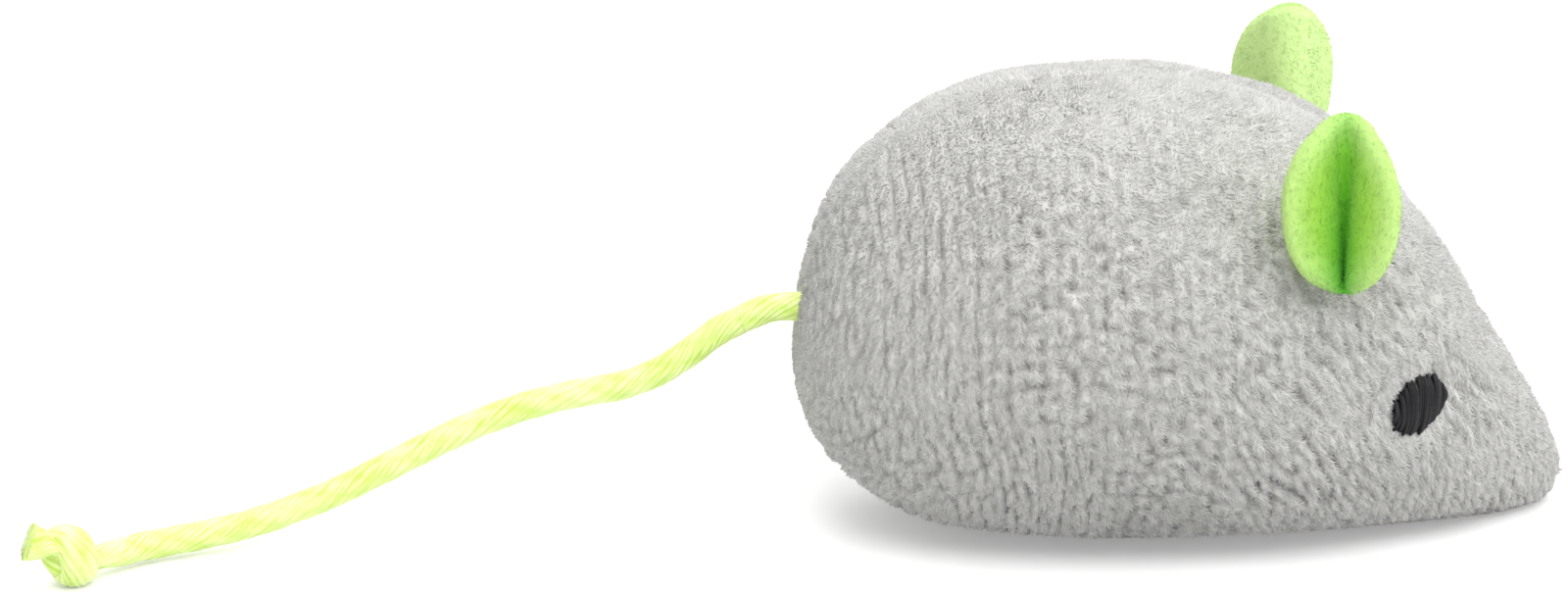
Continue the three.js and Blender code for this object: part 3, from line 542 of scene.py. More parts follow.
# How the pile lies. Ribs run round the body, and tufts follow one another down each rib. The ribs show on
# the rump and along the belly's edge, the flank between is pitted, and the front has bold slanting tufts.
# The nap is brushed down and forwards, and lies flat on the back.
ahead = unit(row_step(skin))
down = unit(ring_step(skin) * np.where(column < SPINE, -1, 1)[None, :, None])
rib_wander, swirl = noise_over(skin, 3.2), noise_over(skin, 5.5, (9.2, 1.7, 4.4))
x, y, z = skin[..., 0], skin[..., 1], skin[..., 2]
on_back, to_rump, low_down = smooth_share(11, 23, z), smooth_share(-2, -12, x), smooth_share(13, 6, z)
front_part = smooth_share(4, 16, x)
flat_on = np.clip(np.abs(normals[..., 1]) * 1.5, 0, 1)
ribbed = np.maximum(smooth_share(-11.5, -21.5, x), smooth_share(-5, -12, x) * smooth_share(13, 9, z))
ribbed = ribbed + 0.7 * np.clip((x - 8) / 8, 0, 1) * np.clip((9 - z) / 5, 0, 1)
skew = 0.42 * np.clip(13 - z, 0, 11) * smooth_share(-6, -18, x)
rib_sway = (0.26 + 0.26 * smooth_share(-4, 9, x)) * rib_wander * (1 - 0.4 * ribbed)
rib = (row_at[:, None] - skew) / RIB_PITCH + 20 + rib_sway
tuft = from_spine / TUFT_PITCH + 40 + 0.3 * np.roll(rib_wander, 7, 0)
ribbed = np.clip(ribbed, 0, 1)
nap = np.radians(60 + (42 - 90 * to_rump) * on_back) * (1 - 0.8 * ribbed) + 1.9 * swirl * (1 - 0.8 * ribbed)
brushed = np.cos(nap)[..., None] * down + np.sin(nap)[..., None] * ahead
brushed *= (0.46 + 0.18 * front_part + 0.2 * smooth_share(9, 3, z) - 0.04 * ribbed)[..., None]
brushed *= (1 - 0.35 * on_back)[..., None]
loose = (1 - 0.6 * ribbed) * (0.3 + 0.7 * flat_on)
bold = 0.85 * smooth_share(-6, 5, x) * smooth_share(27, 18, z) * (1 - ribbed)
domed = 1 - 0.18 * ribbed - 0.65 * smooth_share(22, 29, z) + 0.25 * bold + 0.4 * low_down
pitted = 0.55 + 0.4 * ribbed + 0.2 * front_part + 0.15 * low_down + 0.4 * np.roll(swirl, 5, 1)
pitted = pitted * flat_on ** (1.5 - ribbed) * (1 - 0.7 * bridge)

# Where the eyes are sewn, because the pile is kept short round them and off them, as off the tail's hole.
EYE_X, EYE_ANGLE, EYE_TILT, EYE_LENGTH, EYE_WIDTH = NOSE_X - 12.5, np.radians(12), np.radians(48), 5.1, 3.5
eyes = {}
for name, angle, way in (("left", EYE_ANGLE, 1), ("right", np.pi - EYE_ANGLE, -1)):
    seat, ahead_of, over = (body_point(np.array([EYE_X + step]), np.array([angle + way * turned]), 0.0)[0]
                            for step, turned in ((0, 0), (0.1, 0), (0, 0.01)))
    forward = unit(ahead_of - seat)
    outward = unit(np.cross(forward, over - seat) * -way)
    upward = np.cross(outward, forward) * -way
    upward = upward if upward[2] > 0 else -upward
    eyes[name] = {"seat": seat, "out": outward, "forward": forward, "up": upward,
                  "long": np.cos(EYE_TILT) * forward + np.sin(EYE_TILT) * upward,
                  "cross": np.sin(EYE_TILT) * forward - np.cos(EYE_TILT) * upward}
pile = 1.0 - 0.5 * smooth_share(2.6, 0.8, z) * smooth_share(0.2, -0.6, normals[..., 2])
pile *= (1 - 0.2 * np.exp(-(to_seam / 0.8) ** 2)) * (0.85 + 0.15 * flat_on)
cover = smooth_share(0.7, 1.0, np.hypot(y, z - TAIL_EXIT[2]) + 20 * (x > -20))
for eye in eyes.values():
    away = skin - eye["seat"]
    reach = np.hypot(away @ eye["long"] / (EYE_LENGTH / 2), away @ eye["cross"] / (EYE_WIDTH / 2))
    reach = np.where(np.abs(away @ eye["out"]) < 4, reach, 9)
    cover *= smooth_share(0.78, 0.98, reach)
    pile *= 0.55 + 0.45 * smooth_share(0.95, 1.9, reach)


# One tree makes the pile of every panel: it pushes the skin out into domes along the ribs, leaves pits open
# between them, and plants short fibres over all of it, laid along the nap.
def new_tree(name, kinds):
    """A Geometry Nodes tree with named inputs: its wires, what the inputs give, and their identifiers."""
    tree = bpy.data.node_groups.new(name, "GeometryNodeTree")
    tree.interface.new_socket("Geometry", in_out="INPUT", socket_type="NodeSocketGeometry")
    places = {}
    for label, kind in kinds.items():
        socket = tree.interface.new_socket(label, in_out="INPUT", socket_type="NodeSocket" + kind)
        places[label] = socket.identifier
    tree.interface.new_socket("Geometry", in_out="OUTPUT", socket_type="NodeSocketGeometry")
    entry = tree.nodes.new("NodeGroupInput")
    return Wire(tree), {socket.name: Wire(tree, socket) for socket in entry.outputs}, places


def end_tree(geometry, material):
    """Gives what a tree made its material, and ends the tree."""
    dressed = wires.node("GeometryNodeSetMaterial", {"Geometry": geometry, "Material": material})
    wires.tree.links.new(dressed.socket, wires.tree.nodes.new("NodeGroupOutput").inputs[0])


def run_tree(obj, tree, places, values):
    """Runs a tree on an object, and keeps what it makes as the object's own mesh."""
    modifier = obj.modifiers.new(tree.name, "NODES")
    modifier.node_group = tree
    for label, value in values.items():
        modifier[places[label]] = value
    mesh = bpy.data.meshes.new_from_object(obj.evaluated_get(bpy.context.evaluated_depsgraph_get()))
    obj.modifiers.clear()
    obj.data = mesh
    return mesh


def keep(geometry, name, value, kind="FLOAT", domain="POINT"):
    """Keeps a value on the geometry under a name."""
    return wires.node("GeometryNodeStoreNamedAttribute", {"Geometry": geometry, "Name": name, "Value": value},
                      data_type=kind, domain=domain)


def kept(name, kind="FLOAT"):
    return wires.node("GeometryNodeInputNamedAttribute", {"Name": name}, data_type=kind)


def vector(operation, first, second):
    place = "Scale" if operation == "SCALE" else 1
    return wires.node("ShaderNodeVectorMath", {0: first, place: second}, operation=operation)


def length_of(span):
    return wires.node("ShaderNodeVectorMath", {0: span}, 1, operation="LENGTH")


def within(value, low, high):
    return wires.math("MINIMUM", wires.math("MAXIMUM", value, low), high)


def also(wire, output):
    """Another output of the node that a wire comes from."""
    return Wire(wire.tree, wire.socket.node.outputs[output])


def chance(low, high, seed, of=None):
    """A random number or vector from low to high, one for each fibre, or for each pit or tuft where of is given."""
    first, kind = (0, "FLOAT_VECTOR") if isinstance(low, tuple) else (2, "FLOAT")
    sockets = {first: low, first + 1: high, "Seed": given["Seed"] + seed}
    if of is not None:
        sockets["ID"] = of
    return wires.node("FunctionNodeRandomValue", sockets, first // 2, data_type=kind)


def domes(across, down, uneven):
    """How far a spot is from the crown of its dome, and the dome's own tone."""
    far = wires.node("ShaderNodeTexVoronoi", {"Vector": combine(across, down), "Scale": 1.0, "Smoothness": 0.5,
                                              "Randomness": uneven}, "Distance",
                     voronoi_dimensions="2D", feature="SMOOTH_F1")
    return far, separate(also(far, "Color"), 0)


def by_zone(row, front, rump):
    """The flank's own value, or that of the bold front or the ribbed rump."""
    ahead_of_rump = row + (front - row) * kept("bold")
    return ahead_of_rump + (rump - ahead_of_rump) * kept("ribbed")


ID_STEP = 4096.0  # more than the tufts of one rib, so that each tuft or pit has its own number
wires, given, pile_inputs = new_tree("plush_pile", {
    "Fibres per Square Metre": "Float", "Fibre Length": "Float", "Fibre Width": "Float", "Lean": "Float",
    "Seed": "Int", "Ground": "Bool", "Plush": "Material"})
pile_tree = wires.tree

# Pits lie between the ribs: small ones on the flank, and long slots on the rump.
edge_number = wires.math("FLOOR", kept("rib") + 0.5)
pit_place = kept("tuft") * (1.0 - kept("ribbed") * 0.76) + edge_number * 0.37
pit_number = wires.math("FLOOR", pit_place)
pit_id = edge_number * ID_STEP + pit_number
pit_wide = (0.17 - kept("ribbed") * 0.01 + kept("bold") * 0.03) * chance(0.7, 1.3, 9, pit_id)
pit_long = (0.27 + kept("ribbed") * 0.13 + kept("bold") * 0.05) * chance(0.7, 1.3, 10, pit_id)
over_wide = wires.math("DIVIDE", kept("rib") - edge_number + chance(-0.1, 0.1, 12, pit_id), pit_wide)
over_long = wires.math("DIVIDE", pit_place - pit_number - 0.5 + chance(-0.15, 0.15, 14, pit_id), pit_long)
pit = wires.math("EXPONENT", (over_wide * over_wide + over_long * over_long) * -1.0)
pit = pit * wires.math("LESS_THAN", chance(0.0, 1.0, 13, pit_id), kept("pitted")) * chance(0.4, 0.95, 15, pit_id)

# Domes follow the ribs on the flank and the rump, and slant across them on the front.
row_far, row_tone = domes(kept("rib") - 0.2, kept("tuft") * 1.9, 0.75)
rump_far, rump_tone = domes(kept("rib") * 1.45, kept("tuft") * (1.65 - kept("ribbed") * 0.4), 0.85)
front_far, front_tone = domes(kept("tuft") * 0.77 + kept("rib") * 0.56,
                              kept("tuft") * 1.07 - kept("rib") * 1.1, 0.85)
far = by_zone(row_far, front_far, rump_far)
dome = 1.0 - far * far * kept("domed") * 2.0
bulk = wires.node("GeometryNodeSubdivideMesh", {"Mesh": given["Geometry"], "Level": 1})
# How high a spot of the ground stands, from which the material paints shade: pits, the hollows between domes and, a
# little, the ribbed zones come out darker.
bulk = keep(bulk, "floor", within(0.41 + dome * 0.42 - pit * 0.7 - kept("ribbed") * 0.1, 0.03, 0.97))
bulk = keep(bulk, "tone", 0.55 + by_zone(row_tone, front_tone, rump_tone) * 0.3)
bulk = keep(bulk, "open", pit)
bulk = wires.node("GeometryNodeSetPosition", {"Geometry": bulk, "Offset": vector(
    "SCALE", kept("out", "FLOAT_VECTOR"), kept("thick") * (0.52 + dome * 0.48 - pit * 0.7))})

# Fibres lean along the nap and stray, those of one tuft together. None stands in an open pit.
roots = wires.node("GeometryNodeDistributePointsOnFaces", {
    "Mesh": bulk, "Density": given["Fibres per Square Metre"] * kept("cover"), "Seed": given["Seed"]})
roots = keep(roots, "stand", also(roots, "Normal"), "FLOAT_VECTOR")
tuft_id = wires.math("FLOOR", kept("rib") * 1.6) * ID_STEP + wires.math("FLOOR", kept("tuft") * 1.9)
length = given["Fibre Length"] * kept("pile") * (1.0 - kept("ribbed") * 0.35) * chance(0.6, 1.2, 2)
lean = vector("SCALE", kept("brushed", "FLOAT_VECTOR"), given["Lean"])
strays = vector("ADD", chance((-0.45,) * 3, (0.45,) * 3, 4), chance((-0.6,) * 3, (0.6,) * 3, 5, tuft_id))
strays = vector("SCALE", strays, kept("loose"))
rise_way = vector("ADD", kept("stand", "FLOAT_VECTOR"), vector("ADD", lean, strays))
rise_way = vector("NORMALIZE", rise_way, (0, 0, 0))
roots = keep(roots, "reach", vector("SCALE", rise_way, length), "FLOAT_VECTOR")
roots = keep(roots, "tone", within(kept("tone") + chance(-0.25, 0.25, 6), 0.02, 0.98))
fibre = wires.node("GeometryNodeMeshCone", {"Vertices": 3, "Side Segments": 1, "Radius Top": 0.0,
                                            "Radius Bottom": 0.5, "Depth": 1.0}, fill_type="NGON")
fibre = keep(fibre, "height", separate(wires.node("GeometryNodeInputPosition"), 2))
span = kept("reach", "FLOAT_VECTOR")
width = given["Fibre Width"] * chance(0.75, 1.25, 8)
fibres = wires.node("GeometryNodeInstanceOnPoints", {
    "Points": roots, "Selection": wires.math("LESS_THAN", kept("open"), 0.25), "Instance": fibre,
    "Rotation": wires.node("FunctionNodeAlignRotationToVector", {"Vector": span}, axis="Z"),
    "Scale": combine(width, width, length_of(span))})
fibres = wires.node("GeometryNodeRealizeInstances", {0: fibres})
# Fibres take the ground's value and grow lighter towards their tips, so their roots carry the painted shade of the
# depths.
fibre_shade_level = wires.math("MINIMUM", kept("floor") * 0.9 + kept("height") * 0.4, 0.98)
fibres = keep(fibres, "UVMap", combine(kept("tone"), fibre_shade_level), "FLOAT2", "CORNER")
ground = keep(bulk, "UVMap", combine(kept("tone"), kept("floor")), "FLOAT2", "CORNER")
ground = keep(ground, "stand", wires.node("GeometryNodeInputNormal"), "FLOAT_VECTOR")
ground = wires.node("GeometryNodeSwitch", {"Switch": given["Ground"], "True": ground}, input_type="GEOMETRY")
joined = wires.node("GeometryNodeJoinGeometry", {0: fibres})
pile_tree.links.new(ground.socket, joined.socket.node.inputs[0])
spot = wires.node("GeometryNodeInputPosition")
over_floor = combine(separate(spot, 0), separate(spot, 1), wires.math("MAXIMUM", separate(spot, 2), 0.00004))
joined = wires.node("GeometryNodeSetPosition", {"Geometry": joined, "Position": over_floor})
end_tree(joined, given["Plush"])

# The map of the pile gives the tone of its dome and how high a spot stands, and the lower a spot, the darker its
# colour: painted shade in the pits, between the domes and at the fibres' roots.
plush, wires, shader = new_material("grey_plush", Roughness=0.85, Specular_IOR_Level=0.15, Sheen_Weight=0.3,
                                    Sheen_Roughness=0.5)
on_pile = wires.node("ShaderNodeUVMap", uv_map="UVMap")
tone = separate(on_pile, 0) * 0.45 + 0.65
shade = mixed(wires.math("POWER", separate(on_pile, 1), 0.6), (0.335, 0.331, 0.319, 1), (0.655, 0.65, 0.63, 1))
feed(shader, "Base Color", mixed(1.0, shade, combine(tone, tone, tone), blend_type="MULTIPLY"))


def soften(mesh):
    """Lights the fibres partly as the skin that they stand on, and drops the values that only the tree needs."""
    stands, own = np.zeros((2, len(mesh.vertices) * 3), np.float32)
    mesh.attributes["stand"].data.foreach_get("vector", stands)
    mesh.vertex_normals.foreach_get("vector", own)
    soft = 0.45 * stands.reshape(-1, 3) + 0.55 * own.reshape(-1, 3)
    spent = {*facts, "stand", "tone", "reach", "height", "floor", "open"}
    for name in [attribute.name for attribute in mesh.attributes if attribute.name in spent]:
        mesh.attributes.remove(mesh.attributes[name])
    mesh.shade_smooth()
    mesh.normals_split_custom_set_from_vertices(unit(soft).tolist())


facts = {}  # what the tree reads at each point of the skin, and at the rump's and the nose's pole
for name, grid, at_poles in (
        ("cover", cover, [0, 1]), ("pile", pile, [1, 1]), ("rib", rib, [20, rib.max() + 0.5]),
        ("tuft", tuft, [40, 40]), ("ribbed", ribbed, [1, 0]), ("loose", loose, [0.4, 0.8]),
        ("pitted", pitted, [0, 0]), ("domed", domed, [0.6, 0.6]), ("bold", bold, [0, 0.8]),
        ("thick", pile * cover * PILE_DEPTH * MM, [0, PILE_DEPTH * MM])):
    facts[name] = np.append(grid.ravel(), at_poles)
facts["brushed"] = np.concatenate([brushed.reshape(-1, 3), [(0, 0, -1), (1, 0, 0)]])
out = facts["out"] = np.concatenate([normals.reshape(-1, 3), [(-1, 0, 0), (1, 0, 0)]])
outer = np.concatenate([skin.reshape(-1, 3), poles])
panel_names = {"left": "left_side_panel", "right": "right_side_panel", "belly": "belly_panel"}
for number, (panel, node) in enumerate(panel_names.items()):
    mine = [face for face, which in zip(faces, panels) if which == panel]
    used = sorted({v for face in mine for v in face})
    short = {v: n for n, v in enumerate(used)}
    mine = [tuple(short[v] for v in face) for face in mine]
    edges = {(face[n], face[(n + 1) % len(face)]) for face in mine for n in range(len(face))}
    rim = [edge for edge in edges if edge[::-1] not in edges]
    count = len(used)
    wall = mine + [tuple(v + count for v in face[::-1]) for face in mine]
    wall += [(b, a, a + count, b + count) for a, b in sorted(rim)]
    points = np.concatenate([outer[used], outer[used] - SKIN_THICKNESS * out[used]])
    panel_piece = new_piece(node.replace("panel", "plush"), points, wall, plush)
    for name, values in facts.items():  # the inner side of the panel has no pile
        store(panel_piece.data, name, np.concatenate([values[used], values[used] * (name not in ("cover", "thick"))]))
    soften(run_tree(panel_piece, pile_tree, pile_inputs, {
        "Fibres per Square Metre": FIBRES, "Fibre Length": FIBRE_LENGTH * MM, "Fibre Width": FIBRE_WIDTH * MM,
        "Lean": FIBRE_LEAN, "Seed": 11 + number, "Ground": True, "Plush": plush}))
    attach(panel_piece, "plush_body")
    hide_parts(node)

# ------------------------------------------------------------
# Ears: two ovals of lime-green wool felt, each folded down its middle. The folded foot is pushed
# through a slit in the side panel and sewn there, so that the leaf stands open like a shell.
# ------------------------------------------------------------
EAR_HEIGHT, EAR_WIDTH, FELT_THICKNESS, FOLD_RADIUS, EAR_LEAN = 12.4, 10.2, 1.2, 0.64, np.radians(-5)
LEAF_RINGS, LEAF_SPOKES, FOLD_STEPS, FOOT_FOLD = 18, 128, 80, 86
FUZZ_FIBRES, FUZZ_LENGTH, FUZZ_WIDTH = 16e6, 0.3, 0.06
TAB_START, TAB_ROWS, TAB_SIDES = 2.4, 7, 32
EARS = {  # its turn, how far its tip and its rim are folded, in degrees, and how much its tip is cut back
    "left": (0.0, 46.0, 24.0, -0.35),
    "right": (np.pi - np.radians(18), 50.0, 4.0, -0.05),
}
ear_stands = {j["child"]: np.array(j["pos_m"]) / MM for j in frame["joints"] if j["name"].endswith("ear_flop")}
felt, wires, shader = new_material("lime_felt", Roughness=0.92, Specular_IOR_Level=0.15, Sheen_Weight=0.2,
                                   Sheen_Roughness=0.4, Sheen_Tint=(0.85, 1.0, 0.6, 1))
spot = coordinates("Object")
mottle, wool = fine_noise(spot, 900.0, 4.0, 0.6), fine_noise(spot, 4200.0, 4.0, 0.75)
lime = mixed(mottle, (0.26, 0.56, 0.03, 1), (0.38, 0.67, 0.075, 1))
lime = mixed(wool * 0.5, lime, (0.47, 0.71, 0.18, 1))
# Painted light: the rim of each leaf's front and its whole back are paler, standing in for light through the felt and
# along its edges.
lime = mixed(stored("painted_rim_and_back_light"), lime, (0.67, 0.90, 0.37, 1))
# Painted shade: the leaf's crease and its hidden foot are mixed towards dark green.
feed(shader, "Base Color", mixed(stored("painted_crease_shade") * 0.95, lime, (0.05, 0.44, 0.001, 1)))
feed(shader, "Normal", bump(wool + mottle * 0.7, 0.00012, 0.7))


def ear_leaf(top_cut):
    """The flat cut: an oval that is fuller at its foot, as how far across and how high each point is."""
    turn = np.arange(LEAF_SPOKES) / LEAF_SPOKES * 2 * np.pi
    turn = turn + 0.3 * np.sin(2 * turn)
    share = (np.arange(LEAF_RINGS + 1) / LEAF_RINGS)[:, None]
    power = np.where(np.sin(turn) < 0, 2 / 2.45, 1.0)
    across = share * EAR_WIDTH / 2 * squared(np.cos(turn), power)
    height = EAR_HEIGHT / 2 * (1 + share * squared(np.sin(turn), power))
    height = height - share ** 3 * np.exp(-(across / 1.5) ** 2) * np.where(np.sin(turn) < 0, 0.7, top_cut)
    return across, height, share


def leaf_faces():
    """The faces of a leaf's front and back, which share the rim's points."""
    made, size = [], (LEAF_RINGS + 1) * LEAF_SPOKES
    for layer, way in ((0, 1), (size, -1)):
        for ring in range(LEAF_RINGS):
            near = layer + ring * LEAF_SPOKES
            far = (ring + 1) * LEAF_SPOKES + (layer if ring + 1 < LEAF_RINGS else 0)
            for j in range(LEAF_SPOKES):
                k = (j + 1) % LEAF_SPOKES
                made.append((near + j, far + j, far + k, near + k)[::way])
    return made


def folded(across, height, tip_fold, rim_turn, lift):
    """Folds a flat point, lift in front of the middle sheet: round the crease, then rolling open to the rim."""
    up_leaf = np.clip(height / EAR_HEIGHT, 0, 1)
    crease = np.radians(FOOT_FOLD + (tip_fold - FOOT_FOLD) * up_leaf ** 1.5)
    rim = np.radians(rim_turn)
    fold_radius = (FOLD_RADIUS * (1 + 1.8 * up_leaf ** 2))[..., None]
    reach = np.abs(across)[..., None] * (np.arange(FOLD_STEPS) + 0.5) / FOLD_STEPS
    bent = crease[..., None] * fold_radius
    opened = rim + (crease - rim)[..., None] * np.exp(-np.maximum(reach - bent, 0) / 2.0)
    slope = np.where(reach < bent, reach / fold_radius, opened)
    step = np.abs(across) / FOLD_STEPS
    last = slope[..., -1]
    sideways = np.cos(slope).sum(-1) * step - lift * np.sin(last)
    outwards = np.sin(slope).sum(-1) * step + lift * np.cos(last)
    return np.stack(np.broadcast_arrays(np.sign(across) * sideways, outwards, height), -1)


def turned(points, angle, first, second):
    """Points turned in the plane of two axes."""
    c, s = np.cos(angle), np.sin(angle)
    made = points.copy()
    made[:, first] = c * points[:, first] - s * points[:, second]
    made[:, second] = s * points[:, first] + c * points[:, second]
    return made


def close_shell(mesh):
    """Merges doubled points and turns all faces outwards."""
    shell = bmesh.new()
    shell.from_mesh(mesh)
    bmesh.ops.remove_doubles(shell, verts=shell.verts, dist=1e-7)
    bmesh.ops.recalc_face_normals(shell, faces=shell.faces)
    shell.to_mesh(mesh)
    shell.free()
    mesh.shade_smooth()


for name, (turn_about, tip_fold, rim_turn, top_cut) in EARS.items():
    stand_at = ear_stands[name + "_ear"]
    across, height, share = ear_leaf(top_cut)
    edge = np.sqrt(np.clip(1 - np.clip((share - 0.87) / 0.13, 0, 1) ** 2, 0, 1)) * FELT_THICKNESS / 2
    front_side = folded(across, height, tip_fold, rim_turn, edge)
    back_side = folded(across, height, tip_fold, rim_turn, -edge)
    points = np.concatenate([front_side.reshape(-1, 3), back_side[:-1].reshape(-1, 3)])
    points = turned(turned(points, EAR_LEAN, 1, 2), turn_about, 0, 1) + stand_at
    ear = new_piece(name + "_ear_felt", points, leaf_faces(), felt)
    # Painted shade in the crease on the front, deepest towards the foot; the back has none.
    crease_shade_share = np.exp(-(np.abs(front_side[..., 0]) / 1.15) ** 1.2) * np.clip(1.15 - height / EAR_HEIGHT, 0, 1) ** 0.5
    # Painted light at the front's rim; the back is painted pale all over.
    rim_light_share = 0.6 * smooth_share(0.55, 1.0, share + 0 * across)
    store(ear.data, "painted_crease_shade", np.concatenate([crease_shade_share.ravel(), 0 * crease_shade_share[:-1].ravel()]))
    store(ear.data, "painted_rim_and_back_light", np.concatenate([rim_light_share.ravel(), 0.95 + 0 * rim_light_share[:-1].ravel()]))
    close_shell(ear.data)

    fuzz = bpy.data.objects.new(name + "_ear_fuzz", ear.data.copy())
    scene.collection.objects.link(fuzz)
    count = len(fuzz.data.vertices)
    for fact, values in (("cover", np.ones(count)), ("pile", np.ones(count)), ("loose", np.ones(count) * 1.3),
                         ("rib", rng.uniform(0, 900, count))):
        store(fuzz.data, fact, values)
    soften(run_tree(fuzz, pile_tree, pile_inputs, {
        "Fibres per Square Metre": FUZZ_FIBRES, "Fibre Length": FUZZ_LENGTH * MM, "Fibre Width": FUZZ_WIDTH * MM,
        "Lean": 0.0, "Seed": 21, "Ground": False, "Plush": felt}))

    # The foot of the leaf, inside the slit.
    inward = np.mean(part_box(name + "_ear_root"), axis=0) / MM - stand_at
    depth = 1.85 * np.linalg.norm(inward)
    inward = unit(inward)
    thick = unit(np.cross(inward, (0, 0, 1)))
    broad = np.cross(thick, inward)
    turn = np.arange(TAB_SIDES) / TAB_SIDES * 2 * np.pi
    outline = np.outer(squared(np.cos(turn), 0.4), thick) * 1.1 + np.outer(squared(np.sin(turn), 0.4), broad) * 1.25
    tab_depths = TAB_START + (depth - TAB_START) * np.arange(TAB_ROWS) / (TAB_ROWS - 1)
    tab_points = np.concatenate([stand_at + inward * down + outline for down in tab_depths])
    tab_faces = []
    for row in range(TAB_ROWS - 1):
        tab_faces += ring_faces(row * TAB_SIDES, (row + 1) * TAB_SIDES, TAB_SIDES)
    tab_faces += [tuple(range(TAB_SIDES))[::-1], tuple(range(len(tab_points) - TAB_SIDES, len(tab_points)))]
    tab = new_piece(name + "_ear_tab", tab_points, tab_faces, felt)
    # The foot is painted half in crease shade, dark green, so that it reads as shadow where it shows.
    store(tab.data, "painted_crease_shade", np.full(len(tab_points), 0.5))
    close_shell(tab.data)
    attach(tab, "plush_body")
    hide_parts(name + "_ear_root")
    off_skin = unit(np.array([0, 0, 1]) - inward)
    for piece in (ear, fuzz):
        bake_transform(piece, "plush_body", name + "_ear", (stand_at - 0.6 * off_skin) * MM, (stand_at + 3.0 * off_skin) * MM)
    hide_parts(name + "_ear")
    name + "_side_plush"

# ------------------------------------------------------------
# Eyes: each is a slanted oval of black rayon thread in satin stitch, sewn through the panel and its
# backing before the mouse was made up, so it lies a little below the tips of the pile.
# ------------------------------------------------------------
THREAD_WIDTH, STITCH_RISE, STITCH_SLANT, EYE_SPAN = 0.27, 0.62, np.radians(72), 3.2
STITCH_LAYERS = (0.24, 0.9), (0.2, 1.0)  # the gap between stitches and the size of the oval, lower layer first
black, wires, shader = new_material("black_eye_thread", Roughness=0.42, Specular_IOR_Level=0.2)
twist = fine_noise(coordinates("Object"), 5000.0, 3.0)
# The thread is near black, lighter grey along its twist and on some stitches at random: partly the thread's own tone,
# partly painted sheen.
feed(shader, "Base Color", mixed(twist * stored("tone"), (0.003, 0.003, 0.004, 1), (0.06, 0.06, 0.065, 1)))
feed(shader, "Normal", bump(twist, 0.00003, 0.5))

wires, given, stitch_inputs = new_tree("satin_stitches", {
    "Thread Width": "Float", "Stitch Rise": "Float", "Thread": "Material"})
stitch_tree = wires.tree
arch = wires.node("GeometryNodeCurvePrimitiveBezierSegment", {
    "Resolution": 9, "Start": (-0.5, 0, 0), "Start Handle": (-0.42, 0, 1.0), "End Handle": (0.42, 0, 1.0),
    "End": (0.5, 0, 0)})
ring = wires.node("GeometryNodeCurvePrimitiveCircle", {"Resolution": 6, "Radius": 0.5})
chord = kept("chord", "FLOAT_VECTOR")
thread = wires.node("GeometryNodeInstanceOnPoints", {
    "Points": wires.node("GeometryNodeMeshToPoints", {"Mesh": given["Geometry"]}), "Instance": arch,
    "Rotation": wires.node("FunctionNodeAxesToRotation", {0: kept("facing", "FLOAT_VECTOR"), 1: chord},
                           primary_axis="Z", secondary_axis="X"),
    "Scale": combine(length_of(chord), 1.0, given["Stitch Rise"] * kept("rise"))})
thread = wires.node("GeometryNodeRealizeInstances", {0: thread})
thread = wires.node("GeometryNodeCurveToMesh", {"Curve": thread, "Profile Curve": ring, "Scale": given["Thread Width"],
                                                "Fill Caps": True})
end_tree(thread, given["Thread"])

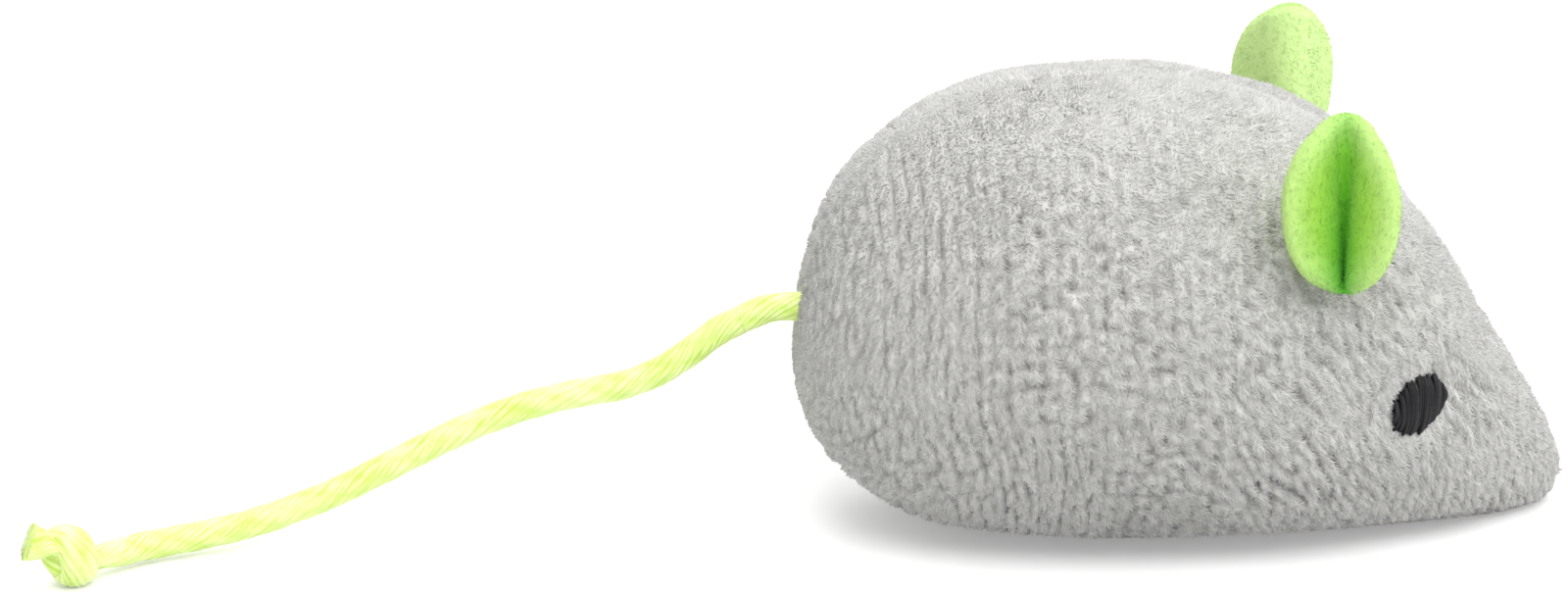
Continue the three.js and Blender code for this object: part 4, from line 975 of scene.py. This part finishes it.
rng = np.random.default_rng(8)
for name, eye in eyes.items():
    way = -np.cos(STITCH_SLANT) * eye["forward"] + np.sin(STITCH_SLANT) * eye["up"]
    step = np.cross(eye["out"], way)
    middles, chords, rises = [], [], []
    for layer, (gap, size) in enumerate(STITCH_LAYERS):
        half_long, half_wide = EYE_LENGTH / 2 * size, EYE_WIDTH / 2 * size
        offsets = np.arange(-EYE_SPAN, EYE_SPAN, gap)
        for offset in offsets + rng.uniform(-0.03, 0.03, len(offsets)):
            # where a thread at this offset crosses the oval
            base = step * offset
            p, q = base @ eye["long"] / half_long, base @ eye["cross"] / half_wide
            dp, dq = way @ eye["long"] / half_long, way @ eye["cross"] / half_wide
            aa, bb, cc = dp * dp + dq * dq, p * dp + q * dq, p * p + q * q - 1
            if bb * bb - aa * cc <= 0.02:
                continue
            root = np.sqrt(bb * bb - aa * cc)
            low, high = (-bb - root) / aa + rng.uniform(-0.28, 0.2), (-bb + root) / aa + rng.uniform(-0.42, 0.2)
            tilt = rng.uniform(-0.05, 0.05)
            middles.append(eye["seat"] + base + way * (low + high) / 2 + eye["out"] * (-0.42 + 0.12 * layer))
            chords.append((way + tilt * step) * (high - low))
            rises.append(0.75 + 0.25 * min(1, (high - low) / 3))
    seeds = bpy.data.meshes.new(name + "_eye_seeds")
    seeds.from_pydata((np.array(middles) * MM).tolist(), [], [])
    eye_piece = bpy.data.objects.new(name + "_eye_stitches", seeds)
    scene.collection.objects.link(eye_piece)
    store(seeds, "chord", np.array(chords) * MM)
    store(seeds, "facing", np.tile(eye["out"], (len(middles), 1)))
    store(seeds, "rise", np.array(rises))
    # How light each stitch is, at random: part of the painted sheen.
    store(seeds, "tone", rng.uniform(0, 1, len(middles)) ** 2)
    run_tree(eye_piece, stitch_tree, stitch_inputs, {
        "Thread Width": THREAD_WIDTH * MM, "Stitch Rise": STITCH_RISE * MM, "Thread": black}).shade_smooth()
    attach(eye_piece, "plush_body")
    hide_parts(name + "_eye")

# ------------------------------------------------------------
# Inside: fibre wads, the clump of dried leaf, backings, and the threads and cord end that are hidden
# in the seams keep their solids, each with its own material.
# ------------------------------------------------------------
INSIDE = {  # the solids, the dark and the light colour, the scale of the grain, the roughness
    "polyester_fibre": (("front_stuffing", "rear_stuffing"), (0.72, 0.72, 0.70), (0.88, 0.88, 0.87), 700.0, 0.95),
    "dried_catnip_leaf": (("catnip_filling",), (0.10, 0.13, 0.03), (0.34, 0.36, 0.13), 520.0, 0.9),
    "white_interfacing": (("left_eye_backing", "right_eye_backing"),
                          (0.70, 0.70, 0.68), (0.85, 0.85, 0.84), 2600.0, 0.85),
    "grey_seam_thread": (("spine_seam_thread", "rump_seam_thread", "belly_seam_thread", "tail_stitch"),
                         (0.32, 0.32, 0.31), (0.50, 0.50, 0.49), 3000.0, 0.7),
    "green_ear_thread": (("left_ear_stitch", "right_ear_stitch"),
                         (0.20, 0.55, 0.04), (0.35, 0.75, 0.10), 3000.0, 0.7),
    "sewn_in_cord": (("tail_anchor",), (0.55, 0.80, 0.05), (0.85, 0.98, 0.25), 2200.0, 0.45),
}
for name, (nodes, dark, light, scale, rough) in INSIDE.items():
    material, wires, shader = new_material(name, Roughness=rough, Specular_IOR_Level=0.2)
    grain = fine_noise(coordinates("Object"), scale, 5.0, 0.65)
    feed(shader, "Base Color", mixed(grain, (*dark, 1), (*light, 1)))
    feed(shader, "Normal", bump(grain, 0.0002, 0.6))
    for node in nodes:
        mesh = frame["nodes"][node].data
        mesh.materials.clear()
        mesh.materials.append(material)
